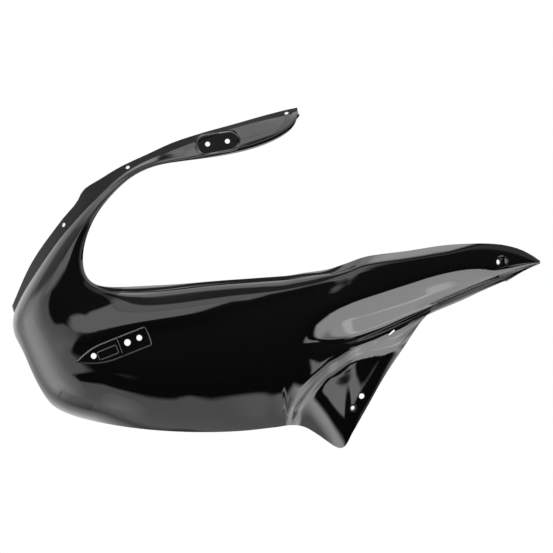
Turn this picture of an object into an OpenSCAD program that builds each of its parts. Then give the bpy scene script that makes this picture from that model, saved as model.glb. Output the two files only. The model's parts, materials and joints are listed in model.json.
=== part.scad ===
// Upper half fairing of a motorcycle: one thin moulding, mirrored about its middle plane.
// X runs from the nose to the tail, Y to the right side, Z up. The skin is drawn once for
// the left half, as a ribbon that starts at the tip of the screen arm, turns round the
// nose and ends at the tail tip. Across the ribbon t goes from 0 at the cockpit edge
// to 1 at the screen, lamp or belly edge.

/* [Overall size] */
// Length from the nose to the tail tip
length = 898; // [760:1:1050]
// Height from the flap tip to the arm tip
height = 580; // [500:1:680]
// Width across the flanks
width = 430; // [360:1:500]

/* [Moulding] */
// Wall of the moulding
wall = 3; // [2.4:0.1:4]
// Depth of the turned-in lips round the free edges
lip_depth = 10; // [6:0.5:14]
// Depth of the step from the skin down to the screen flange
flange_step = 3; // [2:0.1:4]
// Width of the rolled rim round the cockpit opening
rim_width = 9; // [7:0.5:12]
// Height of the fold that overhangs the flank
brow_depth = 5.5; // [3:0.5:8]
// Depth of the trough between the flank and the side flap
trough_depth = 13; // [8:0.5:16]

/* [Screen and lamp] */
// Width of the screen opening between the arms
screen_width = 300; // [260:1:330]
// Width of the headlamp opening
lamp_width = 210; // [160:1:230]

/* [Fixing holes] */
// Diameter of the screen holes
screen_hole_d = 7.5; // [5:0.1:9]
// Diameter of the mirror holes
mirror_hole_d = 8.5; // [6:0.1:10]
// Distance between the two mirror holes
mirror_hole_gap = 34; // [28:0.5:40]
// Diameter of the two indicator screw holes
indicator_hole_d = 10; // [6:0.1:11]
// Distance between the indicator screw holes
indicator_hole_gap = 84; // [76:0.5:88]
// Diameter of the cable hole in the indicator pocket
cable_hole_d = 11.5; // [8:0.1:13]
// Diameter of the upper flap hole
flap_hole_d = 9.5; // [6:0.1:11]
// Diameter of the lower flap hole
flap_pin_d = 7; // [5:0.1:9]
// Diameter of the tail hole
tail_hole_d = 8.5; // [6:0.1:10]
// Diameter of the cup round the tail hole
cup_d = 18; // [15:0.5:22]

/* [Indicator pocket] */
// Depth of the pocket for the indicator
pocket_depth = 5; // [3:0.5:8]

/* [Hidden] */

// Stations round the ribbon: cockpit edge x and z, outer edge x and z,
// half width of the body, and how squarely the section turns toward the outer edge
stations = [
    [37, 278, 36, 283, 172, 1.1],       // tip of the screen arm
    [28, 254, 15, 275, 178, 1.1],
    [-7, 231, -22, 267, 182, 1.1],
    [-54, 215, -71, 254, 184, 1.1],
    [-105, 205, -122, 237, 185, 1.1],   // mirror pad
    [-156, 198, -172, 217, 181, 1.1],
    [-204, 190, -216, 200, 175, 1.2],
    [-245, 171, -257, 178, 171, 1.3],   // neck of the arm
    [-277, 142, -293, 148, 169, 1.5],
    [-303, 110, -326, 116, 170, 1.9],
    [-321, 72, -367, 71, 172, 2.7],
    [-328, 35, -410, 9, 174, 3.6],
    [-323, 4, -449, -69, 175, 4.3],     // middle of the beak under the screen
    [-303, -13, -430, -127, 176, 4.4],
    [-269, -16, -394, -208, 180, 4.3],
    [-223, -14, -320, -241, 188, 4.1],  // middle of the chin
    [-163, -11, -214, -259, 198, 3.8],
    [-95, -5, -104, -263, 207, 3.6],
    [-20, 0, -20, -258, 213, 3.5],      // from here on the sections stand upright
    [44, 6, 44, -253, 215, 3.5],
    [108, 20, 108, -290, 214, 3.2],     // side flap
    [172, 39, 172, -200, 210, 3],
    [236, 47, 236, -98, 204, 3],
    [300, 56, 300, -46, 196, 3],
    [364, 58, 364, -17, 187, 3],
    [428, 42, 428, 14, 177, 3],
    [492, 26, 492, 34, 167, 3]
];
at_beak = 12;
at_chin = 15;
at_upright = 18;
upright_x = stations[at_upright][0];
pitch = stations[at_upright + 1][0] - upright_x;
function station_at(x) = at_upright + (x - upright_x) / pitch;

// Side view outlines past the upright station, as x and z
top_line = [
    [-44, -1], [17, 3], [48, 8], [88, 14], [119, 24], [150, 35], [180, 40], [221, 45],
    [287, 55], [342, 58], [374, 57], [394, 54], [415, 48], [435, 38], [449, 28.5]
];
belly_line = [
    [-44, -259], [-3, -255], [27, -251], [48, -254], [68, -265], [88, -279], [100, -287],
    [110, -290], [119, -285], [129, -266]
];
flap_back = [[129, -266], [154, -222], [185, -167], [221, -113], [245, -77], [257, -64]];
flap_from = flap_back[0][0];
flap_to = flap_back[len(flap_back) - 1][0];
tail_line = [
    [257, -64], [272, -57], [313, -40], [354, -21], [384, -8], [405, 2], [425, 13], [449, 23.5]
];

// Trough: where along x it starts and is fully in, and the height over which it sinks in
trough_start = 17;
trough_full = 41;
trough_end = 258;
trough_ramp = 27;
// Top of the flank: how far it leans in, over what height, and what the tail drops of it
shoulder_lean = 26;
shoulder_run = 70;
shoulder_drop = 0.55;
// Stations between which it comes in, and between which the tail drops it
shoulder_in = [12.5, 15.5];
shoulder_out = [19, 22];
// Rolled rim of the cockpit opening: its depth, and what it gains in depth and width
// round the front of the opening
rim_roll = 6;
front_roll = 10;
front_width = 8;
front_in = [8, 11];
front_out = [14, 17];
rim_out = [19, 20.5];
// Brow: the height of its fold, and how far it fades out above and below
brow_fold = 6;
brow_above = 45;
brow_below = 75;
brow_dip = 0.5;
brow_from = 14;
// Tail facet: where along x it starts and is full, its slopes above and below the ridge,
// and the way back out below the crease
facet_start = 20;
facet_full = 140;
facet_slope = 0.42;
ridge_slope = 0.62;
crease_slope = 0.9;
crease_band = 9;
// Shelf along the top of the tail, and where along x it comes in and runs out
shelf_depth = 9;
shelf_width = 14;
shelf_in = [34, 126];
shelf_out = [279, 357];

// Fold lines on the flank and tail, as x and z
brow_line = [
    [-316, -89], [-258, -81], [-197, -71], [-129, -60], [-78, -49], [-27, -39], [41, -23],
    [92, -9], [139, 5], [211, 16], [279, 26], [381, 35], [449, 26]
];
facet_line = [
    [41, -69], [92, -54], [150, -35], [233, -8], [304, 11], [347, 14], [367, 8], [449, 26]
];
ridge_line = [
    [41, -79], [61, -77], [122, -69], [178, -56], [233, -40], [287, -22], [362, 3], [449, 26]
];
crease_line = [
    [41, -115], [122, -106], [165, -92], [233, -62], [314, -26], [369, -4], [449, 25]
];
trough_line = [
    [17, -251], [29, -220], [36, -205], [63, -169], [88, -145], [104, -135], [134, -115],
    [165, -105], [206, -93], [233, -77], [257, -63]
];
// How much of the brow's height shows along x
brow_share = [[-275, 0], [-215, 0.2], [-130, 0.45], [-27, 1], [41, 1], [109, 0.35], [146, 0]];
// Half width at the belly, flap and tail edge along x
edge_line = [
    [-146, 148], [-104, 156], [-20, 168], [44, 180], [109, 190], [173, 193], [238, 190],
    [303, 182], [367, 174], [449, 164]
];
// Outer edge of the screen flange: station, x and z
flange_line = [
    [0, 36, 290], [1, 12, 285], [2, -26, 275], [3, -75, 261], [4, -126, 247], [5, -175, 231],
    [6, -221, 210], [7, -264, 190], [8, -299, 169], [8.85, -328, 150], [9.35, -340, 128],
    [10, -367, 96], [11, -415, 28], [12, -449, -47]
];

// Size of the drawing that these tables make, and the place of one of its points
tail_x = tail_line[len(tail_line) - 1][0];
drawn_length = tail_x - min([for (s = stations) s[2]]);
drawn_height = max([for (r = flange_line) r[2]]) - min([for (r = belly_line) r[1]]);
drawn_width = 2 * max([for (s = stations) s[4]]);
function place(x, w, z) =
    [x * length / drawn_length, -w * width / drawn_width, z * height / drawn_height];

function mix(a, b, f) = a + (b - a) * f;
function clamp(x, a, b) = max(a, min(b, x));
function smooth(a, b, x) = let (f = clamp((x - a) / (b - a), 0, 1)) f * f * (3 - 2 * f);
function between(span, x) = smooth(span[0], span[1], x);
function steps(a, b, n) = [for (i = [0:n - 1]) a + (b - a) * i / n];
function unit(v) = v / max(norm(v), 1e-9);

// Smooth curve through a table's rows, column c against column 0
function slope(table, k, c) =
    let (a = max(k - 1, 0), b = min(k + 1, len(table) - 1))
    (table[b][c] - table[a][c]) / (table[b][0] - table[a][0]);
function row_at(table, x) = max([for (k = [0:len(table) - 2]) table[k][0] <= x ? k : 0]);
function curve(table, x, c = 1) =
    let (
        i = row_at(table, x),
        h = table[i + 1][0] - table[i][0],
        f = (x - table[i][0]) / h,
        a = table[i][c],
        b = table[i + 1][c],
        ma = slope(table, i, c) * h,
        mb = slope(table, i + 1, c) * h
    )
    f > 1 ? b + mb * (f - 1)
    : (2 * f ^ 3 - 3 * f ^ 2 + 1) * a + (f ^ 3 - 2 * f ^ 2 + f) * ma
      + (3 * f ^ 2 - 2 * f ^ 3) * b + (f ^ 3 - f ^ 2) * mb;

// Cubic B-spline that passes through the stations
last = len(stations) - 1;
function row(k) =
    k < 0 ? 2 * stations[0] - stations[1]
    : k > last ? 2 * stations[last] - stations[last - 1]
    : stations[k];
control = [for (k = [-1:last + 1]) row(k) - (row(k - 1) - 2 * row(k) + row(k + 1)) / 6];
function spline(u) =
    let (i = min(floor(u), last - 1), f = u - i)
    (
        (1 - f) ^ 3 * control[i] + (3 * f ^ 3 - 6 * f ^ 2 + 4) * control[i + 1]
        + (1 + 3 * f + 3 * f ^ 2 - 3 * f ^ 3) * control[i + 2] + f ^ 3 * control[i + 3]
    ) / 6;

// Plan view of an opening's edge: a U that starts at the middle plane at x = apex
plan_power = 2.4;
function u_shape(x, apex, depth, half) =
    half * (1 - clamp((apex + depth - x) / depth, 0, 1) ^ plan_power) ^ (1 / plan_power);
screen_depth = 200;
belly_depth = 187;
belly_half = 150;
apex_x = spline(at_beak)[2];
chin_x = spline(at_chin)[2];
screen_half = screen_width / 2 * drawn_width / width;
flange_inset = 12;
belly_blend = [-180, -104];
function belly_edge(x) =
    let (base = u_shape(x, chin_x, belly_depth, belly_half))
    x < belly_blend[0] ? base : mix(base, curve(edge_line, x), between(belly_blend, x));
function outer_z(x) =
    x <= flap_from ? curve(belly_line, x)
    : x <= flap_to ? curve(flap_back, x)
    : curve(tail_line, x);

// One station of the ribbon: cockpit edge, outer edge, half width, power, edge half width
function station(u) =
    let (
        s = spline(u),
        k = smooth(at_upright - 0.5, at_upright + 0.5, u),
        x = upright_x + (u - at_upright) * pitch,
        ox = mix(s[2], x, k),
        edge = u < at_beak ? u_shape(ox, apex_x, screen_depth, screen_half)
            : u <= at_chin ? 0
            : belly_edge(ox)
    )
    [
        mix(s[0], x, k),
        k == 0 ? s[1] : mix(s[1], curve(top_line, x), k),
        ox,
        k == 0 ? s[3] : mix(s[3], outer_z(x), k),
        s[4],
        s[5],
        edge
    ];

// Skin of the left half at station s (number u) and place t across it
function skin(u, s, t) =
    let (
        x = mix(s[0], s[2], t),
        z = mix(s[1], s[3], t),
        run = norm([s[2] - s[0], s[3] - s[1]]),
        from_edge = t * run,
        power = s[5],
        body = (s[4] ^ power * (1 - t ^ power) + s[6] ^ power * t ^ power) ^ (1 / power),
        // the shoulder leans in toward the top of the flank
        shoulder = shoulder_lean * between(shoulder_in, u)
            * (1 - shoulder_drop * between(shoulder_out, u)),
        lean = shoulder * max(0, 1 - from_edge / shoulder_run) ^ 2 * (1 - t),
        // rolled rim, wider round the front of the cockpit opening
        front = between(front_in, u) * (1 - between(front_out, u)),
        roll_share = max(0, 1 - from_edge / (rim_width + front_width * front)) ^ 2,
        roll = (rim_roll + front_roll * front) * (1 - between(rim_out, u)) * roll_share,
        // brow fold over the flank
        brow_on = u > brow_from && x > brow_share[0][0] && x < brow_share[len(brow_share) - 1][0],
        share = brow_on ? max(0, curve(brow_share, x)) : 0,
        under = brow_on ? curve(brow_line, x) - z : 0,
        fade = smooth(0, brow_below, under),
        brow = brow_depth * share * (
            smooth(0, brow_fold, under) * (1 - fade)
            - brow_dip * smooth(-brow_above, 0, under) * (1 - fade)
        ),
        // tail: turned-in facet down to the crease, and a shelf along the top
        tail_on = u > at_upright ? smooth(facet_start, facet_full, x) : 0,
        facet_z = tail_on > 0 ? curve(facet_line, x) : 0,
        ridge_z = tail_on > 0 ? curve(ridge_line, x) : 0,
        crease_z = tail_on > 0 ? curve(crease_line, x) : 0,
        facet = tail_on * (
            facet_slope * clamp(facet_z - z, 0, max(facet_z - ridge_z, 0))
            + ridge_slope * clamp(ridge_z - z, 0, max(ridge_z - crease_z, 0))
            - crease_slope * clamp(crease_z - z, 0, crease_band)
        ),
        shelf_on = between(shelf_in, x) * (1 - between(shelf_out, x)),
        shelf = u > at_upright
            ? shelf_depth * shelf_on * max(0, 1 - from_edge / (shelf_width * shelf_on + 0.1))
            : 0,
        // trough that sets the flap back from the flank
        trough_on = x > trough_start && x < trough_end ? smooth(trough_start, trough_full, x) : 0,
        trough = trough_on > 0
            ? trough_on * trough_depth * smooth(0, trough_ramp, curve(trough_line, x) - z)
            : 0
    )
    place(x, body - lean - roll - brow - facet - shelf - trough, z);

// Places across the ribbon, set so that rows of facets follow the folds
flank_in = [13.6, 15.4];
tail_in = [18, 19.5];
foot_in = [17, 19];
function t_of(z, s) = (s[1] - z) / (s[1] - s[3]);
function brow_t(s) =
    let (first = t_of(curve(brow_line, s[0]), s))
    t_of(curve(brow_line, mix(s[0], s[2], first)), s);
function breaks(u, s, t_end) =
    let (
        run = norm([s[2] - s[0], s[3] - s[1]]),
        to_flank = between(flank_in, u),
        to_tail = between(tail_in, u),
        x = s[0],
        rim = min(0.2, rim_width * 1.3 / run),
        brow = to_flank > 0 ? mix(0.3, brow_t(s), to_flank) : 0.3,
        ridge = to_tail > 0 ? mix(0.45, t_of(curve(ridge_line, x), s), to_tail) : 0.45,
        crease = to_tail > 0 ? mix(0.64, t_of(curve(crease_line, x), s), to_tail) : 0.64,
        dip = x < trough_start ? 0.78 : x > trough_end ? 0.5 : t_of(curve(trough_line, x), s),
        trough = clamp(dip, crease + 0.2 * (1 - crease), crease + 0.7 * (1 - crease)),
        foot = trough + min(trough_ramp / (s[1] - s[3]), 0.6 * (1 - trough)),
        on_flank = between(foot_in, u),
        b = [
            0, min(rim, brow * 0.6), brow, max(ridge, brow * 1.1), max(crease, brow * 1.2), trough,
            mix(trough + 0.5 * (1 - trough), foot, on_flank), 1
        ]
    )
    [for (v = b) v * t_end];
shares = [1, 2, 2, 2, 2, 2, 2];
function across(b) = [
    for (k = [0:len(shares) - 1]) each steps(b[k], b[k + 1], shares[k]),
    b[len(shares)]
];

// Stations used for the facets: closer together at the flap, and
// toward the middle plane, where the edges of the openings turn across
lamp_from = 12.5;
lamp_to = 14.25;
lamp_power = 3;
lamp_mid = (lamp_from + lamp_to) / 2;
flap_near = 88;
upright_along = [
    each steps(upright_x, flap_near, 8),
    each steps(flap_near, flap_from, 4),
    each steps(flap_from, flap_to, 6),
    each steps(flap_to, tail_x, 7),
    tail_x
];
along = [
    each steps(0, 9, 14), each steps(9, 11, 4),
    for (q = steps(1, 0, 6)) at_beak - q ^ plan_power,
    each steps(at_beak, lamp_from, 2),
    for (a = [0:18:162])
    lamp_mid - (lamp_mid - lamp_from) * sign(cos(a)) * abs(cos(a)) ^ (2 / lamp_power),
    each steps(lamp_to, at_chin, 3),
    for (q = steps(0, 1, 5)) at_chin + q ^ plan_power,
    each steps(at_chin + 1, at_upright, 4),
    for (x = upright_along) station_at(x)
];
ni = len(along);

// Half width of the headlamp opening at station u
lamp_half = lamp_width / 2 * drawn_width / width;
function lamp_edge(u) =
    u <= lamp_from || u >= lamp_to ? 0
    : lamp_half * (1 - abs((2 * u - lamp_from - lamp_to) / (lamp_to - lamp_from)) ^ lamp_power)
      ^ (1 / lamp_power);
function end_t(u, s) = (1 - (lamp_edge(u) / s[4]) ^ s[5]) ^ (1 / s[5]);

sections = [for (u = along) station(u)];
main = [
    for (i = [0:ni - 1])
    let (u = along[i], s = sections[i])
    [for (t = across(breaks(u, s, end_t(u, s)))) skin(u, s, t)]
];
nm = len(main[0]);
function on_middle(p) = [p[0], 0, p[2]];
function is_middle(p) = abs(p[1]) < 0.001;
function settle(p) = is_middle(p) ? on_middle(p) : p;
function normal_at(grid, i, j) =
    let (
        a = grid[min(i + 1, len(grid) - 1)][j] - grid[max(i - 1, 0)][j],
        b = grid[i][min(j + 1, len(grid[i]) - 1)] - grid[i][max(j - 1, 0)],
        n = unit(cross(b, a))
    )
    is_middle(grid[i][j]) ? unit(on_middle(n)) : n;

// Free edges: a lip turned in at the cockpit edge, and at the other edge the stepped
// flange for the screen, or a lip round the lamp and along the belly
flange_apex = flange_line[len(flange_line) - 1][1];
function flange_edge(u) =
    let (x = curve(flange_line, u, 1))
    place(
        x,
        u_shape(x, flange_apex, screen_depth, screen_half - flange_inset),
        curve(flange_line, u, 2)
    );
// The lips run out toward the two tips
lip_in = [0, 0.8];
lip_out = [380, 440];
function lip_share(i) =
    between(lip_in, along[i]) * (1 - between(lip_out, upright_x + (along[i] - at_upright) * pitch));
lip_least = 0.6;
lip_knee = 0.4;
function lip(i, j, share) =
    let (depth = lip_least + (lip_depth - lip_least) * lip_share(i))
    settle(main[i][j] - share * depth * normal_at(main, i, j));
function outer_cells(i) =
    along[i] <= at_beak
    ? [
        settle(main[i][nm - 1] - flange_step * normal_at(main, i, nm - 1)),
        settle(flange_edge(along[i]))
    ]
    : [lip(i, nm - 1, lip_knee), lip(i, nm - 1, 1)];
outside = [
    for (i = [0:ni - 1])
    [lip(i, 0, 1), each [for (p = main[i]) settle(p)], each outer_cells(i)]
];
nj = len(outside[0]);
// Normals; along a lip that runs out they turn back to those of the skin
function is_lip(i, j) = j == 0 || (j > nm && along[i] > at_beak);
function skin_normal(i, j) = normal_at(main, i, j == 0 ? 0 : nm - 1);
function wall_normal(i, j) =
    let (n = normal_at(outside, i, j))
    is_lip(i, j) ? unit(mix(skin_normal(i, j), n, lip_share(i))) : n;
inside = [
    for (i = [0:ni - 1])
    [for (j = [0:nj - 1]) settle(outside[i][j] - wall * wall_normal(i, j))]
];

// One closed surface: outside and inside of the left half, then of the right half.
// The halves share the points on the middle plane.
half = ni * nj;
function mirrored(grid) = [for (r = grid) for (p = r) [p[0], -p[1], p[2]]];
shell_points = [
    each [for (r = outside) for (p = r) p],
    each [for (r = inside) for (p = r) p],
    each mirrored(outside),
    each mirrored(inside)
];
// Index of point i, j; layer 0 is outside and 1 inside, side 0 is left and 1 right
function id(i, j, layer, side) =
    let (p = layer == 0 ? outside[i][j] : inside[i][j])
    i * nj + j + layer * half + (side == 1 && !is_middle(p) ? 2 * half : 0);
function split(q) =
    let (p = shell_points)
    norm(p[q[0]] - p[q[2]]) <= norm(p[q[1]] - p[q[3]])
    ? [[q[0], q[1], q[2]], [q[0], q[2], q[3]]]
    : [[q[0], q[1], q[3]], [q[1], q[2], q[3]]];
// A four-sided cell from its corners, given as i, j and layer, on one side
function cell(corners, side, flip) =
    let (q = [for (c = corners) id(c[0], c[1], c[2], side)])
    flip ? [q[3], q[2], q[1], q[0]] : q;
function edge_cells_on(i) =
    let (u = (along[i] + along[i + 1]) / 2)
    u < at_beak || (u > lamp_from && u < lamp_to) || u > at_chin;
function quads(side) = [
    for (i = [0:ni - 2])
    let (stop = edge_cells_on(i) ? nj - 1 : nm)
    each [
        for (j = [0:stop - 1], k = [0, 1])
        cell([[i, j, k], [i + 1, j, k], [i + 1, j + 1, k], [i, j + 1, k]], side, (k + side) % 2 == 1)
    ],
    for (i = [0:ni - 2])
    cell([[i + 1, 0, 0], [i, 0, 0], [i, 0, 1], [i + 1, 0, 1]], side, side == 1),
    for (i = [0:ni - 2], j = [nj - 1])
    if (edge_cells_on(i))
    cell([[i, j, 0], [i + 1, j, 0], [i + 1, j, 1], [i, j, 1]], side, side == 1),
    for (j = [0:nj - 2])
    cell([[0, j, 0], [0, j + 1, 0], [0, j + 1, 1], [0, j, 1]], side, side == 1),
    for (j = [0:nj - 2], i = [ni - 1])
    cell([[i, j + 1, 0], [i, j, 0], [i, j, 1], [i, j + 1, 1]], side, side == 1)
];
shell_faces = [for (side = [0, 1]) for (q = quads(side)) each split(q)];

module shell() {
    polyhedron(shell_points, shell_faces, convexity = 10);
}

// Place on the skin at station u and t, and the outward direction there
function on_skin(u, t) = skin(u, station(u), t);
near = 0.02;
function out_of_skin(u, t) =
    unit(cross(
        on_skin(u, t + near) - on_skin(u, t - near),
        on_skin(u + near, t) - on_skin(u - near, t)
    ));
function t_at(x, z) = t_of(z, station(station_at(x)));
// Moves its children to p, with their Z axis along n and their X axis near a
module stand_on(p, n, a = [1, 0, 0]) {
    e1 = unit(a - (a * n) * n);
    e2 = cross(n, e1);
    multmatrix([
        [e1[0], e2[0], n[0], p[0]],
        [e1[1], e2[1], n[1], p[1]],
        [e1[2], e2[2], n[2], p[2]],
        [0, 0, 0, 1]
    ])
    children();
}
module both_sides() {
    children();
    mirror([0, 1, 0]) children();
}
through = 12;
module bore(d) {
    cylinder(h = 2 * through, d = d, center = true, $fn = 48);
}

// Holes along the screen flange, by station
screen_holes = [0.85, 3.93, 6.8, 9.9];
screen_hole_share = 0.55;
ahead = 0.05;
module screen_hole(u) {
    s = station(u);
    step = skin(u, s, 1);
    edge = flange_edge(u);
    run = flange_edge(u + ahead) - flange_edge(u - ahead);
    n = unit(cross(edge - step, run));
    stand_on(mix(step - flange_step * n, edge, screen_hole_share), n) bore(screen_hole_d);
}

// Mirror pad: a flat stadium that stands nearly upright on the sloping blade of the arm,
// pressed out with the same wall as the rest, with the mirror holes square to it
pad_x = -99.5;
pad_z = 229.5;
pad_w = 172.5;
pad_tilt = 8.5;
pad_lean = 12;
pad_half = 20.5;
pad_radius = 14.5;
pad_reach = 34;
pad_foot = 4.6;
pad_out = [0, -cos(pad_lean), sin(pad_lean)];
pad_axis = [cos(pad_tilt), 0, sin(pad_tilt)];
module on_pad() {
    stand_on(place(pad_x, pad_w, pad_z), pad_out, pad_axis) children();
}
module stadium(r, from, to) {
    for (k = [-1, 1]) translate([k * pad_half, 0, from]) cylinder(h = to - from, r = r, $fn = 64);
    translate([-pad_half, -r, from]) cube([2 * pad_half, 2 * r, to - from]);
}
module pad_boss() {
    under = [4, 0.6];
    difference() {
        on_pad() stadium(pad_radius, -pad_reach, 0);
        stand_on(on_skin(under[0], under[1]), out_of_skin(under[0], under[1]))
        translate([-2 * pad_reach, -2 * pad_reach, -2 * pad_reach - pad_foot])
        cube([4 * pad_reach, 4 * pad_reach, 2 * pad_reach]);
    }
}
module pad_cut() {
    on_pad() {
        stadium(pad_radius, 0, through);
        stadium(pad_radius - wall, -pad_reach, -wall);
        for (k = [-1, 1]) translate([k * mirror_hole_gap / 2, 0, 0]) bore(mirror_hole_d);
    }
}

// Pocket for the front indicator: a leaf that lies in the plane of the skin there
pocket_from = [14.5, 0.555];
pocket_to = [15.36, 0.379];
pocket_at = [14.89, 0.458];
pocket_front = on_skin(pocket_from[0], pocket_from[1]);
pocket_rear = on_skin(pocket_to[0], pocket_to[1]);
pocket_axis = unit(pocket_rear - pocket_front);
pocket_mid = (pocket_front + pocket_rear) / 2;
pocket_out =
    let (n = out_of_skin(pocket_at[0], pocket_at[1]))
    unit(n - (n * pocket_axis) * pocket_axis);
leaf_top = 13.6;
leaf_bottom = 18.4;
leaf_rear = 59;
top_radius = 106;
bottom_radius = 122.5;
rear_radius = 90;
top_start = -20;
bottom_start = -5;
leaf_drop = 2;
tub_seat = 2.3;
module leaf(grow, from, to) {
    h = to - from;
    translate([0, 0, from])
    intersection() {
        union() {
            translate([top_start, leaf_top - top_radius, 0])
            cylinder(h = h, r = top_radius + grow, $fn = 96);
            translate([top_start, -leaf_bottom - 2 * grow, 0])
            cube([leaf_rear - top_start + 2 * grow, leaf_top + leaf_bottom + 3 * grow, h]);
        }
        union() {
            translate([bottom_start, bottom_radius - leaf_bottom, 0])
            cylinder(h = h, r = bottom_radius + grow, $fn = 96);
            translate([bottom_start, -leaf_bottom - grow, 0])
            cube([leaf_rear - bottom_start + 2 * grow, leaf_top + leaf_bottom + 3 * grow, h]);
        }
        translate([leaf_rear - rear_radius, -leaf_drop, 0])
        cylinder(h = h, r = rear_radius + grow, $fn = 96);
    }
}
module pocket_tub() {
    stand_on(pocket_mid, pocket_out, pocket_axis) leaf(wall, -pocket_depth - wall, -tub_seat);
}
rib_x = 6;
rib_w = 2;
rib_share = 0.6;
cable_x = 20.3;
// Shallow channel in the floor: its corner, its size and its depth
channel_from = [-34, -10.6];
channel_size = [35, 14.2];
channel_depth = 1.2;
module pocket_cut() {
    stand_on(pocket_mid, pocket_out, pocket_axis) {
        difference() {
            leaf(0, -pocket_depth, through);
            translate([rib_x, -leaf_bottom, -pocket_depth])
            cube([rib_w, leaf_bottom + leaf_top, pocket_depth * rib_share]);
        }
        translate([channel_from[0], channel_from[1], -pocket_depth - channel_depth])
        cube([channel_size[0], channel_size[1], pocket_depth]);
        for (k = [-1, 1]) translate([k * indicator_hole_gap / 2, 0, 0]) bore(indicator_hole_d);
        translate([cable_x, 0, 0]) bore(cable_hole_d);
    }
}

// Holes of the side flap, and the slot above them
flap_hole = [146, -202];
flap_pin = [131, -222];
pin_seat_d = 13.5;
pin_seat = 1.2;
slot_at = [197, -94];
slot_length = 13;
slot_w = 3;
slot_turn = 42;
module flap_holes() {
    stand_on_flank(flap_hole) bore(flap_hole_d);
    stand_on_flank(flap_pin) {
        bore(flap_pin_d);
        translate([0, 0, -pin_seat]) cylinder(h = through, d = pin_seat_d, $fn = 48);
    }
    stand_on_flank(slot_at)
    rotate([0, 0, slot_turn]) {
        cube([slot_length - slot_w, slot_w, 2 * through], center = true);
        for (k = [-1, 1]) translate([k * (slot_length - slot_w) / 2, 0, 0]) bore(slot_w);
    }
}
module stand_on_flank(at) {
    u = station_at(at[0]);
    t = t_at(at[0], at[1]);
    stand_on(on_skin(u, t), out_of_skin(u, t)) children();
}

// Deep cup for the tail fixing, its floor turned toward the rear
tail_hole = [385, 27];
cup_depth = 11;
cup_turn = 28;
cup_seat = 1;
tail_u = station_at(tail_hole[0]);
tail_t = t_at(tail_hole[0], tail_hole[1]);
module in_cup() {
    translate(on_skin(tail_u, tail_t))
    rotate([0, 0, cup_turn])
    stand_on([0, 0, 0], out_of_skin(tail_u, tail_t))
    children();
}
module tail_cup() {
    reach = cup_depth + wall;
    difference() {
        in_cup() translate([0, 0, -reach]) cylinder(h = 2 * reach, d = cup_d + 2 * wall, $fn = 64);
        stand_on_flank(tail_hole)
        translate([-2 * reach, -2 * reach, -cup_seat]) cube([4 * reach, 4 * reach, 4 * reach]);
    }
}
module tail_cup_cut() {
    in_cup() {
        translate([0, 0, -cup_depth]) {
            cylinder(h = cup_depth + through, d = cup_d, $fn = 64);
            bore(tail_hole_d);
        }
    }
}

module fairing() {
    color([0.02, 0.02, 0.02])
    difference() {
        union() {
            shell();
            both_sides() {
                pad_boss();
                pocket_tub();
                tail_cup();
            }
        }
        both_sides() {
            for (u = screen_holes) screen_hole(u);
            pad_cut();
            pocket_cut();
            flap_holes();
            tail_cup_cut();
        }
    }
}
fairing();
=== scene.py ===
"""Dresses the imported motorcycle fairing: the smooth gloss moulding with its rolled edges and
holes, the raised beads round its seats, and a plain studio to see it in."""

import json
import math

import bpy
import numpy as np
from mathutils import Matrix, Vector
from mathutils.bvhtree import BVHTree

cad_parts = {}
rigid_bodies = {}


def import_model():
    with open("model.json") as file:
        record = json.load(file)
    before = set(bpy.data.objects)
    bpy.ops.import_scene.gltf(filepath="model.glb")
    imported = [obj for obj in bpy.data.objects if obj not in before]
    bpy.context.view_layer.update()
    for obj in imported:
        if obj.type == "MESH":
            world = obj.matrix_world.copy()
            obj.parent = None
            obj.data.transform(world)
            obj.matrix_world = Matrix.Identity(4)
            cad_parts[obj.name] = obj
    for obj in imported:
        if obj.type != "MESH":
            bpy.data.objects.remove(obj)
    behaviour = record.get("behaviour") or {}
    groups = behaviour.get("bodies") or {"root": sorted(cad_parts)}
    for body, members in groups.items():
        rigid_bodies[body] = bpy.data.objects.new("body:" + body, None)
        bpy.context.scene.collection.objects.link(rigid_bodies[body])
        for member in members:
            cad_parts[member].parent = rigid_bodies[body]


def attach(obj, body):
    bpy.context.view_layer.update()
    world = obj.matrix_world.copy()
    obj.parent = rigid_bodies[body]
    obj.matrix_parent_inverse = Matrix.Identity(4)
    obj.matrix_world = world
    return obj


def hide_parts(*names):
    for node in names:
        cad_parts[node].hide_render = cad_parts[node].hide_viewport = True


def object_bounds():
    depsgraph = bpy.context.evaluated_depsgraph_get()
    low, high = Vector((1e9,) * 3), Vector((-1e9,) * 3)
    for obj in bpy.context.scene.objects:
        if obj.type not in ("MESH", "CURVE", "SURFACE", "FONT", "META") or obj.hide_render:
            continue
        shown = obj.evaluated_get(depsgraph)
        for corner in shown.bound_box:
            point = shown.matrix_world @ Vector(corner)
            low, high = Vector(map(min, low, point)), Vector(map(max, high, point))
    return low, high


bl_info = {
    "name": "Motorcycle fairing",
    "version": (1, 0, 0),
    "blender": (4, 5, 0),
    "location": "3D View > Sidebar > Fairing",
    "description": "Builds the moulded fairing, its raised beads and its studio",
    "category": "Object",
}

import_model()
CAD_LOW, CAD_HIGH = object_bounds()
MM = 0.001
PHOTO_PIXELS, MM_PER_PIXEL = 553, 1.7
ALONG_X, MIRROR = np.array([1.0, 0, 0]), np.array([1, -1, 1])

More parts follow.
